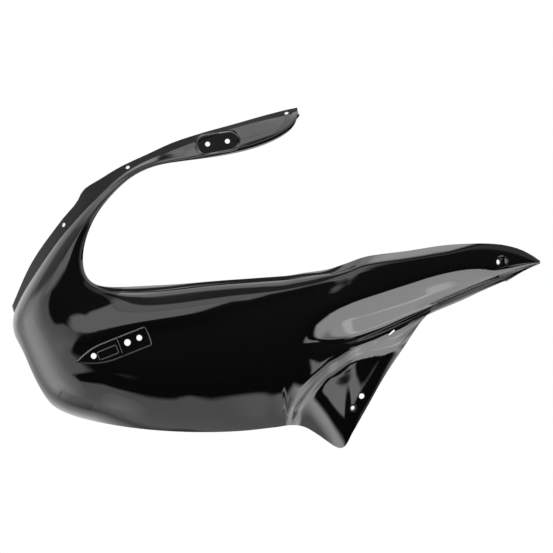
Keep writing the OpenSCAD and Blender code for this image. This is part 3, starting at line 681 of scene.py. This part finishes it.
def leaf_outline(grow, n=40):
    """Outline of the indicator pocket in its own plane, from its point anticlockwise."""
    top_r, bottom_r, rear_r = TOP_RADIUS + grow, BOTTOM_RADIUS + grow, REAR_RADIUS + grow
    top_c, bottom_c = (TOP_START, LEAF_TOP - TOP_RADIUS), (BOTTOM_START, BOTTOM_RADIUS - LEAF_BOTTOM)
    rear_c = (LEAF_REAR - REAR_RADIUS, -LEAF_DROP)

    def top(x):
        return top_c[1] + (math.sqrt(top_r**2 - (x - top_c[0]) ** 2) if x < top_c[0] else top_r)

    def bottom(x):
        run = math.sqrt(bottom_r**2 - (x - bottom_c[0]) ** 2) if x < bottom_c[0] else bottom_r
        return bottom_c[1] - run

    def rear(y):
        return rear_c[0] + math.sqrt(rear_r**2 - (y - rear_c[1]) ** 2)

    low, high = -100.0, -50.0
    for _ in range(50):
        tip = (low + high) / 2
        past = top_r**2 <= (tip - top_c[0]) ** 2 or bottom_r**2 <= (tip - bottom_c[0]) ** 2
        if past or top(tip) < bottom(tip):
            low = tip
        else:
            high = tip
    y_low, y_high = bottom(LEAF_END), top(LEAF_END)
    under = [(x, bottom(x)) for x in np.linspace(high, rear(y_low), n, endpoint=False)]
    back = [(rear(y), y) for y in np.linspace(y_low, y_high, n // 3, endpoint=False)]
    over = [(x, top(x)) for x in np.linspace(rear(y_high), high, n, endpoint=False)]
    return np.array(under + back + over)


def slot_outline(grow, n=12):
    """Outline of the flap's slot, turned to its place."""
    r, turn = SLOT_RADIUS + grow, math.radians(SLOT_TURN)
    a = np.linspace(-math.pi / 2, math.pi / 2, n)
    right = np.stack([SLOT_HALF + r * np.cos(a), r * np.sin(a)], -1)
    spin = np.array([[math.cos(turn), math.sin(turn)], [-math.sin(turn), math.cos(turn)]])
    return np.concatenate([right, -right]) @ spin


def both_sides(part):
    """Points and faces of a left part and its mirror image."""
    points, faces = part
    flipped = [tuple(i + len(points) for i in f[::-1]) for f in faces]
    return np.concatenate([points, points * MIRROR]), list(faces) + flipped


def cut_or_join(obj, operation, name, parts, mirrored=True):
    """Applies one boolean with all the parts, and their mirror images."""
    tools = bpy.data.collections.new(name)
    for part in parts:
        points, faces = both_sides(part) if mirrored else part
        tool = new_mesh(name, points, faces, obj.data.materials)
        bpy.context.scene.collection.objects.unlink(tool)
        tools.objects.link(tool)
    bpy.context.scene.collection.children.link(tools)
    modifier = obj.modifiers.new(name, "BOOLEAN")
    modifier.operation, modifier.solver = operation, "MANIFOLD"
    modifier.operand_type, modifier.collection = "COLLECTION", tools
    before = len(obj.data.polygons)
    keep_result(obj, modifier)
    for tool in list(tools.objects):
        bpy.data.objects.remove(tool)
    bpy.data.collections.remove(tools)
    if len(obj.data.polygons) in (0, before):
        raise RuntimeError("the step " + name + " changed nothing")


def heights(tree, points, at, n):
    """How far the skin stands above a plane at each point of a ring, along the plane's normal."""
    out, reach = [], 0.02
    for p in points:
        hit = tree.ray_cast(Vector(p * MM) + Vector(n) * reach, -Vector(n), 2 * reach)[0]
        out.append(0.0 if hit is None else float((np.array(hit) / MM - at) @ n))
    return np.array(out)


def lipped(tree, outline, at, n, a, floor, radius, fillet=0.0):
    """A cutter with a round lip where it meets the skin, and a fillet at its floor.

    outline(grow) gives the outline in the plane, grown sideways."""
    skin = heights(tree, stood(ring(outline(radius), 0.0), at, n, a), at, n)
    rings = []
    for degrees in (0, 30, 60, 90) if fillet else (90,):
        turn = math.radians(degrees)
        grow = -fillet * (1 - math.sin(turn))
        rings.append(ring(outline(grow), floor + fillet * (1 - math.cos(turn))))
    for degrees in (0, 28, 56, 84):
        turn = math.radians(degrees)
        rings.append(ring(outline(radius * (1 - math.cos(turn))), skin - radius * (1 - math.sin(turn))))
    rings.append(ring(outline(radius * 1.05), skin + THROUGH))
    points, faces = loft(rings)
    return stood(points, at, n, a), faces


class Fittings:
    """Places of the holes and seats on the left side, all in millimetres."""

    def __init__(self, form, sizes):
        self.form, self.sizes = form, sizes
        front, rear = form.point(*POCKET_FRONT), form.point(*POCKET_REAR)
        self.leaf_axis = unit(rear - front)
        self.leaf_mid = (front + rear) / 2
        n = form.normal(*POCKET_MIDDLE)
        self.leaf_out = unit(n - (n @ self.leaf_axis) * self.leaf_axis)
        self.pad_at, self.pad_out, self.pad_axis, _ = pad_frame()
        self.tail_at, self.tail_skin = self.on_flank(TAIL_HOLE)
        turn = math.radians(CUP["turn"])
        x, y, z = self.tail_skin
        c, d = math.cos(turn), math.sin(turn)
        self.cup_out = np.array([x * c - y * d, x * d + y * c, z])

    def on_flank(self, at):
        u = AT_UPRIGHT + (at[0] - UPRIGHT_X) / PITCH
        s = self.form.station(u)
        t = (s[1] - at[1]) / (s[1] - s[3])
        return self.form.point(u, float(t)), self.form.normal(u, float(t))

    def screen_hole(self, u):
        f = self.form
        step = f.point(u, 1)
        edge = f.flange(u)
        ahead = 0.05
        n = unit(np.cross(edge - step, f.flange(u + ahead) - f.flange(u - ahead)))
        return mix(step - f.step * n, edge, SCREEN_HOLE_SHARE), n

    def bores(self):
        """Every round hole: place, axis, side axis, radius, and whether it opens on the skin."""
        s = self.sizes
        out = [(*self.screen_hole(u), ALONG_X, s.screen_hole / MM / 2, True) for u in SCREEN_HOLES]
        floor = self.leaf_mid - s.pocket_depth / MM * self.leaf_out
        pairs = (
            (self.pad_at, self.pad_out, self.pad_axis, s.mirror_gap, s.mirror_hole, True),
            (floor, self.leaf_out, self.leaf_axis, s.indicator_gap, s.indicator_hole, False),
        )
        for k in (-1, 1):
            for middle, n, a, gap, width, on_skin in pairs:
                out.append((middle + k * gap / MM / 2 * a, n, a, width / MM / 2, on_skin))
        cable = floor + CABLE_AT * self.leaf_axis
        out.append((cable, self.leaf_out, self.leaf_axis, CABLE_RADIUS, False))
        out.append((*self.on_flank(FLAP_HOLE), ALONG_X, FLAP_RADIUS, True))
        out.append((*self.on_flank(FLAP_PIN), ALONG_X, PIN_RADIUS, False))
        cup_floor = self.tail_at - CUP["depth"] * self.cup_out
        out.append((cup_floor, self.cup_out, ALONG_X, TAIL_RADIUS, False))
        return out


def bead_tree():
    """Geometry nodes that sweep a round bead along every edge line of a mesh."""
    tree = bpy.data.node_groups.new("swept_bead", "GeometryNodeTree")
    face = tree.interface
    face.new_socket(name="Geometry", in_out="INPUT", socket_type="NodeSocketGeometry")
    radius = face.new_socket(name="Bead radius", in_out="INPUT", socket_type="NodeSocketFloat")
    sides = face.new_socket(name="Bead sides", in_out="INPUT", socket_type="NodeSocketInt")
    finish = face.new_socket(name="Finish", in_out="INPUT", socket_type="NodeSocketMaterial")
    face.new_socket(name="Geometry", in_out="OUTPUT", socket_type="NodeSocketGeometry")
    given, profile = tree.nodes.new("NodeGroupInput"), tree.nodes.new("GeometryNodeCurvePrimitiveCircle")
    chain = [tree.nodes.new(kind) for kind in (
        "GeometryNodeMeshToCurve", "GeometryNodeCurveToMesh", "GeometryNodeMergeByDistance",
        "GeometryNodeSetShadeSmooth", "GeometryNodeRealizeInstances", "GeometryNodeSetMaterial",
        "NodeGroupOutput",
    )]
    path, sweep, merge, coat = chain[0], chain[1], chain[2], chain[5]
    sweep.inputs["Fill Caps"].default_value = True
    merge.inputs["Distance"].default_value = 0.00001
    link(tree, given.outputs["Geometry"], path.inputs[0])
    link(tree, given.outputs["Bead sides"], profile.inputs["Resolution"])
    link(tree, given.outputs["Bead radius"], profile.inputs["Radius"])
    link(tree, profile.outputs[0], sweep.inputs["Profile Curve"])
    link(tree, given.outputs["Finish"], coat.inputs["Material"])
    for before, after in zip(chain, chain[1:]):
        link(tree, before.outputs[0], after.inputs[0])
    return tree, radius.identifier, sides.identifier, finish.identifier


def swept(name, lines, radius, material, bead_sides=12):
    """Round beads along lines, each (points, closed), as one plain mesh."""
    points, edges = [], []
    for line, closed in lines:
        first, n = len(points), len(line)
        points += [tuple(p * MM) for p in line]
        edges += [(first + k, first + (k + 1) % n) for k in range(n if closed else n - 1)]
    mesh = bpy.data.meshes.new(name)
    mesh.from_pydata(points, edges, [])
    obj = placed(name, mesh)
    modifier = obj.modifiers.new("bead", "NODES")
    tree, radius_id, sides_id, finish_id = bead_tree()
    modifier.node_group = tree
    modifier[radius_id], modifier[sides_id], modifier[finish_id] = radius, bead_sides, material
    keep_result(obj, modifier)
    if not obj.data.polygons:
        raise RuntimeError("no bead was made for " + name)
    return obj


def rounded(corners, radius, n=6):
    """A closed outline with rounded corners."""
    out, corners = [], np.array(corners, float)
    for k, here in enumerate(corners):
        before, after = corners[k - 1], corners[(k + 1) % len(corners)]
        a, b = here + radius * unit(before - here), here + radius * unit(after - here)
        for f in np.linspace(0, 1, n):
            out.append((1 - f) ** 2 * a + 2 * f * (1 - f) * here + f * f * b)
    return np.array(out)


def sharpen(obj, angle):
    """Smooth shading with edges over the angle kept sharp, and flats kept flat."""
    mesh = obj.data
    mesh.polygons.foreach_set("use_smooth", [True] * len(mesh.polygons))
    mesh.set_sharp_from_angle(angle=math.radians(angle))
    modifier = obj.modifiers.new("flats", "WEIGHTED_NORMAL")
    modifier.keep_sharp = True
    keep_result(obj, modifier)


# Materials


def link(tree, a, b):
    tree.links.new(a, b)


def calc(tree, operation, *values):
    """A math node on numbers or sockets."""
    node = tree.nodes.new("ShaderNodeMath")
    node.operation = operation
    for socket, value in zip(node.inputs, values):
        if isinstance(value, (int, float)):
            socket.default_value = value
        else:
            link(tree, value, socket)
    return node.outputs[0]


def ramp(tree, value, start, end, low=0, high=1, kind="LINEAR"):
    """Goes from low to high while the value goes from start to end."""
    node = tree.nodes.new("ShaderNodeMapRange")
    node.interpolation_type = kind
    for label, number in (("From Min", start), ("From Max", end), ("To Min", low), ("To Max", high)):
        node.inputs[label].default_value = number
    link(tree, value, node.inputs["Value"])
    return node.outputs["Result"]


def surface_group():
    """Shared moulded surface: fine waviness, dust and smears as height, roughness and colour."""
    name = "moulded_surface"
    if name in bpy.data.node_groups:
        return bpy.data.node_groups[name]
    group = bpy.data.node_groups.new(name, "ShaderNodeTree")
    sockets = (
        ("Colour", "INPUT", (0.01, 0.01, 0.01, 1)), ("Roughness", "INPUT", 0.05),
        ("Waviness", "INPUT", 0.1), ("Dust", "INPUT", 0.1), ("Grain", "INPUT", 0.0),
        ("Colour", "OUTPUT", None), ("Roughness", "OUTPUT", None), ("Height", "OUTPUT", None),
    )
    for label, way, value in sockets:
        kind = "NodeSocketColor" if label == "Colour" else "NodeSocketFloat"
        socket = group.interface.new_socket(name=label, in_out=way, socket_type=kind)
        if value is not None:
            socket.default_value = value
    nodes = group.nodes
    given, made = nodes.new("NodeGroupInput").outputs, nodes.new("NodeGroupOutput").inputs
    place = nodes.new("ShaderNodeTexCoord")

    def noise(scale, detail):
        n = nodes.new("ShaderNodeTexNoise")
        n.inputs["Scale"].default_value, n.inputs["Detail"].default_value = scale, detail
        link(group, place.outputs["Object"], n.inputs["Vector"])
        return n.outputs["Fac"]

    def times(a, b):
        return calc(group, "MULTIPLY", a, b)

    waves, grain, specks, smears = noise(9, 2), noise(1400, 2), noise(900, 1), noise(14, 4)
    dust = times(ramp(group, specks, *SPECKS), given["Dust"])
    smear = times(times(ramp(group, smears, *SMEARS), given["Dust"]), SMEAR_ROUGH)
    rough = calc(group, "ADD", calc(group, "ADD", smear, given["Roughness"]), times(dust, SPECK_ROUGH))
    blend = nodes.new("ShaderNodeMix")
    blend.data_type = "RGBA"
    link(group, times(dust, SPECK_PALE), blend.inputs["Factor"])
    link(group, given["Colour"], blend.inputs["A"])
    blend.inputs["B"].default_value = DUST_COLOUR
    height = calc(group, "ADD", times(waves, given["Waviness"]), times(grain, given["Grain"]))
    link(group, blend.outputs["Result"], made["Colour"])
    link(group, rough, made["Roughness"])
    link(group, height, made["Height"])
    return group


def plastic(name, colour, roughness, waviness, grain, bump, coat, specular, dust):
    """A moulded plastic finish on the shared surface group."""
    material = bpy.data.materials.new(name)
    material.use_nodes = True
    tree = material.node_tree
    shader = tree.nodes["Principled BSDF"]
    group = tree.nodes.new("ShaderNodeGroup")
    group.node_tree = surface_group()
    lift = tree.nodes.new("ShaderNodeBump")
    values = (
        (group, "Colour", (*colour, 1)), (group, "Roughness", roughness), (group, "Waviness", waviness),
        (group, "Dust", dust), (group, "Grain", grain), (lift, "Strength", 1.0), (lift, "Distance", bump),
        (shader, "IOR", 1.5), (shader, "Specular IOR Level", specular),
        (shader, "Coat Weight", coat), (shader, "Coat Roughness", 0.02),
    )
    for node, label, value in values:
        node.inputs[label].default_value = value
    link(tree, group.outputs["Colour"], shader.inputs["Base Color"])
    link(tree, group.outputs["Roughness"], shader.inputs["Roughness"])
    link(tree, group.outputs["Height"], lift.inputs["Height"])
    link(tree, lift.outputs["Normal"], shader.inputs["Normal"])
    return material


def finishes():
    """The gloss outside, the plain back, and the dull screen flange and mirror pads."""
    f = bpy.context.scene.fairing_finish
    # name, colour, roughness, waviness, grain, distance of the bump in metres, coat, specular
    table = (
        ("gloss_black_plastic", f.face_colour, f.face_roughness, 0.25, 0.0, 0.0004, 1.0, 0.5),
        ("plain_plastic_back", f.back_colour, f.back_roughness, 0.2, 0.3, 0.0002, 0.0, 0.5),
        ("dull_plastic_seat", f.seat_colour, f.seat_roughness, 0.1, 0.2, 0.0002, 0.0, 0.25),
    )
    return [bpy.data.materials.get(row[0]) or plastic(*row, f.dust) for row in table]


class FairingSizes(bpy.types.PropertyGroup):
    wall: bpy.props.FloatProperty(
        name="Wall", description="Wall of the moulding", default=0.003, unit="LENGTH")
    lip_depth: bpy.props.FloatProperty(
        name="Lips", description="Depth of the turned-in lips", default=0.010, unit="LENGTH")
    flange_step: bpy.props.FloatProperty(
        name="Flange step", description="Step down to the screen flange", default=0.003, unit="LENGTH")
    rim_width: bpy.props.FloatProperty(
        name="Rim", description="Width of the rolled rim of the cockpit gaps", default=0.009, unit="LENGTH")
    brow_depth: bpy.props.FloatProperty(
        name="Brow", description="Height of the fold over the flank", default=0.0055, unit="LENGTH")
    cheek_depth: bpy.props.FloatProperty(
        name="Cheek", description="Lean of the band over the pocket", default=0.004, unit="LENGTH")
    trough_depth: bpy.props.FloatProperty(
        name="Trough", description="How far the side flap is set back", default=0.013, unit="LENGTH")
    screen_width: bpy.props.FloatProperty(
        name="Screen opening", description="Width between the arms", default=0.300, unit="LENGTH")
    lamp_width: bpy.props.FloatProperty(
        name="Headlamp opening", description="Width of the headlamp opening", default=0.210, unit="LENGTH")
    screen_hole: bpy.props.FloatProperty(
        name="Screen holes", description="Diameter of the screen holes", default=0.0075, unit="LENGTH")
    mirror_hole: bpy.props.FloatProperty(
        name="Mirror holes", description="Diameter of the mirror holes", default=0.0085, unit="LENGTH")
    mirror_gap: bpy.props.FloatProperty(
        name="Mirror spacing", description="Between the two mirror holes", default=0.034, unit="LENGTH")
    indicator_hole: bpy.props.FloatProperty(
        name="Indicator holes", description="Diameter of the indicator holes", default=0.010,
        unit="LENGTH")
    indicator_gap: bpy.props.FloatProperty(
        name="Indicator spacing", description="Between the two indicator holes", default=0.084,
        unit="LENGTH")
    pocket_depth: bpy.props.FloatProperty(
        name="Pocket", description="Depth of the indicator pocket", default=0.005, unit="LENGTH")
    edge_radius: bpy.props.FloatProperty(
        name="Edge radius", description="Radius of the rolled edges", default=0.0015, unit="LENGTH")
    bead_radius: bpy.props.FloatProperty(
        name="Beads", description="Radius of the raised beads", default=0.0012, unit="LENGTH")
    hole_radius: bpy.props.FloatProperty(
        name="Hole rim", description="Radius of the rim round each hole", default=0.0006, unit="LENGTH")
    fineness: bpy.props.FloatProperty(
        name="Fineness", description="Mesh stations per station of the drawing, as a factor", default=2.8)


class FairingFinish(bpy.types.PropertyGroup):
    face_colour: bpy.props.FloatVectorProperty(
        name="Outside", description="Colour of the gloss plastic", default=(0.0035, 0.0035, 0.0038),
        subtype="COLOR", min=0, max=1)
    face_roughness: bpy.props.FloatProperty(
        name="Gloss", description="Roughness of the outside", default=0.03, min=0, max=1)
    back_colour: bpy.props.FloatVectorProperty(
        name="Inside", description="Colour of the plain back", default=(0.012, 0.012, 0.012),
        subtype="COLOR", min=0, max=1)
    back_roughness: bpy.props.FloatProperty(
        name="Back roughness", description="Roughness of the inside", default=0.42, min=0, max=1)
    seat_colour: bpy.props.FloatVectorProperty(
        name="Seats", description="Colour of the screen flange and mirror pads",
        default=(0.018, 0.018, 0.018), subtype="COLOR", min=0, max=1)
    seat_roughness: bpy.props.FloatProperty(
        name="Seat roughness", description="Roughness of the screen flange and mirror pads", default=0.36,
        min=0, max=1)
    dust: bpy.props.FloatProperty(
        name="Dust", description="Amount of dust and smears", default=0.25, min=0, max=1)
    floor_colour: bpy.props.FloatVectorProperty(
        name="Floor", description="Colour of the floor", default=(0.8, 0.8, 0.8),
        subtype="COLOR", min=0, max=1)


class FAIRING_OT_moulding(bpy.types.Operator):
    """Builds the moulded skin with its folds, lips, pads, pockets and holes"""

    bl_idname = "fairing.moulding"
    bl_label = "Moulding"

    def execute(self, context):
        sizes = context.scene.fairing_sizes
        form = Form(sizes)
        places = Fittings(form, sizes)
        points, faces, finish = shell_mesh(form, sizes.fineness)
        shell = new_mesh("fairing_moulding", points, faces, finishes())
        shell.data.polygons.foreach_set("material_index", finish.astype(np.int32))
        wall, depth = form.wall, sizes.pocket_depth / MM
        lip, rim = sizes.edge_radius / MM, sizes.hole_radius / MM
        leaf = places.leaf_mid, places.leaf_out, places.leaf_axis
        tree = BVHTree.FromObject(shell, bpy.context.evaluated_depsgraph_get())
        # tubs behind the pocket and the cup; the cup's open end lies just under the skin
        cup_at, cup_out = places.tail_at, places.cup_out
        tub = stood_body(prism(leaf_outline(wall), -depth - wall, -TUB_SEAT), *leaf)
        cup = prism(circle(CUP["r"] + wall, CUP_SIDES), -CUP["depth"] - wall, 0)
        cup = stood_body(cup, cup_at, cup_out, ALONG_X)
        seat = cup_at - CUP["seat"] * places.tail_skin
        top = cup[0][CUP_SIDES:]
        top += ((seat - top) @ places.tail_skin / (cup_out @ places.tail_skin))[:, None] * cup_out
        cut_or_join(shell, "UNION", "tubs", [tub, cup])
        # the cutter of the pocket, less the rib that is left standing across its floor
        pocket = new_mesh("pocket", *lipped(tree, leaf_outline, *leaf, -depth, lip, FLOOR_FILLET))
        corners = [(RIB_FROM, -RIB_SPAN), (RIB_TO, -RIB_SPAN), (RIB_TO, RIB_SPAN), (RIB_FROM, RIB_SPAN)]
        rib = prism(np.array(corners), -depth - 1, -depth + RIB_HEIGHT)
        cut_or_join(pocket, "DIFFERENCE", "rib", [stood_body(rib, *leaf)], False)
        mesh = pocket.data
        cutter = (
            np.array([v.co for v in mesh.vertices]) / MM, [tuple(f.vertices) for f in mesh.polygons])
        bpy.data.objects.remove(pocket)
        channel = prism(np.array(CHANNEL, float), -depth - CHANNEL_DEPTH, -depth + 1)

        def cup_outline(grow):
            return circle(CUP["r"] + grow, CUP_SIDES)

        def pin_outline(grow):
            return circle(PIN_SEAT + grow)

        pin, slot = places.on_flank(FLAP_PIN), places.on_flank(SLOT_AT)
        cuts = [
            cutter, stood_body(channel, *leaf),
            lipped(tree, cup_outline, cup_at, cup_out, ALONG_X, -CUP["depth"], lip, FLOOR_FILLET),
            lipped(tree, pin_outline, *pin, ALONG_X, -PIN_DEPTH, rim),
            lipped(tree, slot_outline, *slot, ALONG_X, -THROUGH, rim),
        ]
        for p, n, a, r, on_skin in places.bores():
            if on_skin:
                cuts.append(lipped(tree, lambda grow: circle(r + grow), p, n, a, -THROUGH, rim))
            else:
                cuts.append(stood_body(prism(circle(r), -THROUGH, depth + 1), p, n, a))
        cut_or_join(shell, "DIFFERENCE", "holes", cuts)
        sharpen(shell, SHARP_ANGLE)
        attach(shell, "root")
        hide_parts("fairing")
        return {"FINISHED"}


class FAIRING_OT_beads(bpy.types.Operator):
    """Builds the raised beads in the pockets and the collars round the seated holes"""

    bl_idname = "fairing.beads"
    bl_label = "Beads"

    def execute(self, context):
        sizes = context.scene.fairing_sizes
        places = Fittings(Form(sizes), sizes)
        gloss = finishes()[0]
        floor = -sizes.pocket_depth / MM
        leaf = places.leaf_mid, places.leaf_out, places.leaf_axis
        frame_line = ring(rounded(CHANNEL, CHANNEL_CORNER), floor)
        across = np.linspace(RIB_LOW, RIB_HIGH, 12)
        along = np.full(12, (RIB_FROM + RIB_TO) / 2)
        rib = ring(np.column_stack([along, across]), floor + RIB_HEIGHT - RIB_SUNK)
        collar = ring(circle(PIN_COLLAR, COLLAR_SIDES), -PIN_DEPTH)
        tail_collar = ring(circle(TAIL_COLLAR, COLLAR_SIDES), -CUP["depth"])
        lines = [
            (stood(frame_line, *leaf), True), (stood(rib, *leaf), False),
            (stood(collar, *places.on_flank(FLAP_PIN), ALONG_X), True),
            (stood(tail_collar, places.tail_at, places.cup_out, ALONG_X), True),
        ]
        lines += [(points * MIRROR, closed) for points, closed in lines]
        beads = swept("raised_beads", lines, sizes.bead_radius, gloss)
        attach(beads, "root")
        return {"FINISHED"}


class FAIRING_OT_stage(bpy.types.Operator):
    """Builds the floor, the camera and the plain studio light"""

    bl_idname = "fairing.stage"
    bl_label = "Stage"

    def execute(self, context):
        scene = context.scene
        low = CAD_LOW.z - FLOOR_GAP
        floor = placed("floor", bpy.data.meshes.new("floor"))
        floor.data.from_pydata([(x, y, low) for x, y in FLOOR], [], [(0, 1, 2, 3)])
        pale = bpy.data.materials.new("floor_paper")
        pale.use_nodes = True
        shader = pale.node_tree.nodes["Principled BSDF"]
        shader.inputs["Base Color"].default_value = (*scene.fairing_finish.floor_colour, 1)
        shader.inputs["Roughness"].default_value = 0.9
        shader.inputs["Specular IOR Level"].default_value = 0.0
        self.clear_to_reflections(pale)
        floor.data.materials.append(pale)
        self.studio(scene)
        camera = placed("camera", bpy.data.cameras.new("camera"))
        camera.data.type = "ORTHO"
        camera.data.ortho_scale = PHOTO_PIXELS * MM_PER_PIXEL * MM
        camera.location = (MM_PER_PIXEL / 2 * MM, -3.0, MM_PER_PIXEL * MM)
        camera.rotation_euler = (math.radians(90), 0, 0)
        camera.data.clip_end = 20
        scene.camera = camera
        scene.view_settings.view_transform = "Standard"
        return {"FINISHED"}

    def clear_to_reflections(self, material):
        """Lets reflections pass the floor, so that gloss shows the studio and not the floor's edge."""
        tree = material.node_tree
        rays = tree.nodes.new("ShaderNodeLightPath")
        clear = tree.nodes.new("ShaderNodeBsdfTransparent")
        both = tree.nodes.new("ShaderNodeMixShader")
        link(tree, rays.outputs["Is Glossy Ray"], both.inputs[0])
        link(tree, tree.nodes["Principled BSDF"].outputs[0], both.inputs[1])
        link(tree, clear.outputs[0], both.inputs[2])
        link(tree, both.outputs[0], tree.nodes["Material Output"].inputs[0])

    def studio(self, scene):
        """Light of the world: a dark room at eye level, a large box at the left and a low one that
        grows stronger to the right, a ceiling and a top box, and three small lights."""
        world = bpy.data.worlds.new("studio")
        scene.world = world
        world.use_nodes = True
        tree = world.node_tree
        tree.nodes.clear()
        place = tree.nodes.new("ShaderNodeTexCoord")
        parts = tree.nodes.new("ShaderNodeSeparateXYZ")
        link(tree, place.outputs["Generated"], parts.inputs[0])
        x, y, z = parts.outputs

        def combine(operation, *values):
            return calc(tree, operation, *values)

        def fade(value, start, end, low, high):
            return ramp(tree, value, start, end, low, high, "SMOOTHSTEP")

        def product(*values):
            total = values[0]
            for value in values[1:]:
                total = combine("MULTIPLY", total, value)
            return total

        turn = combine("MULTIPLY", combine("ARCTAN2", x, combine("MULTIPLY", y, -1.0)), 180 / math.pi)
        rise = combine("MULTIPLY", combine("ARCSINE", z), 180 / math.pi)
        past = combine("MAXIMUM", combine("SUBTRACT", turn, EDGE_FROM), 0.0)
        edge = combine("ADD", combine("MULTIPLY", past, EDGE_SLOPE), EDGE_LOW)
        edge = combine("MINIMUM", edge, EDGE_HIGH)
        measured = {
            "turn": turn, "rise": rise, "behind": combine("ABSOLUTE", turn),
            "end": combine("SUBTRACT", turn, fade(rise, *LEFT_END)),
            "edge": combine("SUBTRACT", rise, edge),
        }

        def lit(fades):
            return product(*(fade(measured[what], *numbers) for what, *numbers in fades))

        def patch(turns, rises, strength):
            sides = [
                fade(value, *numbers)
                for value, (a, b, c, d) in ((turn, turns), (rise, rises))
                for numbers in ((a, b, 0, 1), (c, d, 1, 0))
            ]
            return product(*sides, strength)

        def without(light, dark):
            return product(light, combine("SUBTRACT", 1.0, dark))

        gap = patch(*CEILING_GAP)
        lights = [lit(LEFT_BOX), without(lit(LOW_BOX), lit(LOW_BOX_DIM))]
        lights += [patch(*light) for light in (FLAP_LIGHT, LOW_STREAK, CHEEK_LIGHT)]
        lights += [without(lit(CEILING), gap), without(lit(TOP_BOX), gap)]
        level = lit(ROOM)
        for light in lights:
            level = combine("MAXIMUM", level, light)
        level = without(level, lit(BEAM))
        rays = tree.nodes.new("ShaderNodeLightPath")
        seen, white = tree.nodes.new("ShaderNodeBackground"), tree.nodes.new("ShaderNodeBackground")
        link(tree, level, seen.inputs["Strength"])
        both = tree.nodes.new("ShaderNodeMixShader")
        link(tree, rays.outputs["Is Camera Ray"], both.inputs[0])
        seen.inputs["Color"].default_value = white.inputs["Color"].default_value = (1, 1, 1, 1)
        link(tree, seen.outputs[0], both.inputs[1])
        link(tree, white.outputs[0], both.inputs[2])
        out = tree.nodes.new("ShaderNodeOutputWorld")
        link(tree, both.outputs[0], out.inputs[0])


class FAIRING_PT_panel(bpy.types.Panel):
    """Sizes, finish and steps of the fairing"""

    bl_idname = "FAIRING_PT_panel"
    bl_label = "Fairing"
    bl_space_type = "VIEW_3D"
    bl_region_type = "UI"
    bl_category = "Fairing"

    def draw(self, context):
        for group in (context.scene.fairing_sizes, context.scene.fairing_finish):
            box = self.layout.box()
            for key in group.__annotations__:
                box.prop(group, key)
        for step in STEPS:
            self.layout.operator(step.bl_idname)


STEPS = (FAIRING_OT_moulding, FAIRING_OT_beads, FAIRING_OT_stage)
CLASSES = (FairingSizes, FairingFinish, *STEPS, FAIRING_PT_panel)


def register():
    for cls in CLASSES:
        bpy.utils.register_class(cls)
    bpy.types.Scene.fairing_sizes = bpy.props.PointerProperty(type=FairingSizes)
    bpy.types.Scene.fairing_finish = bpy.props.PointerProperty(type=FairingFinish)


def unregister():
    del bpy.types.Scene.fairing_finish
    del bpy.types.Scene.fairing_sizes
    for cls in reversed(CLASSES):
        bpy.utils.unregister_class(cls)


def main():
    register()
    bpy.ops.fairing.moulding()
    bpy.ops.fairing.beads()
    bpy.ops.fairing.stage()
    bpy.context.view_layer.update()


if __name__ == "__main__":
    main()
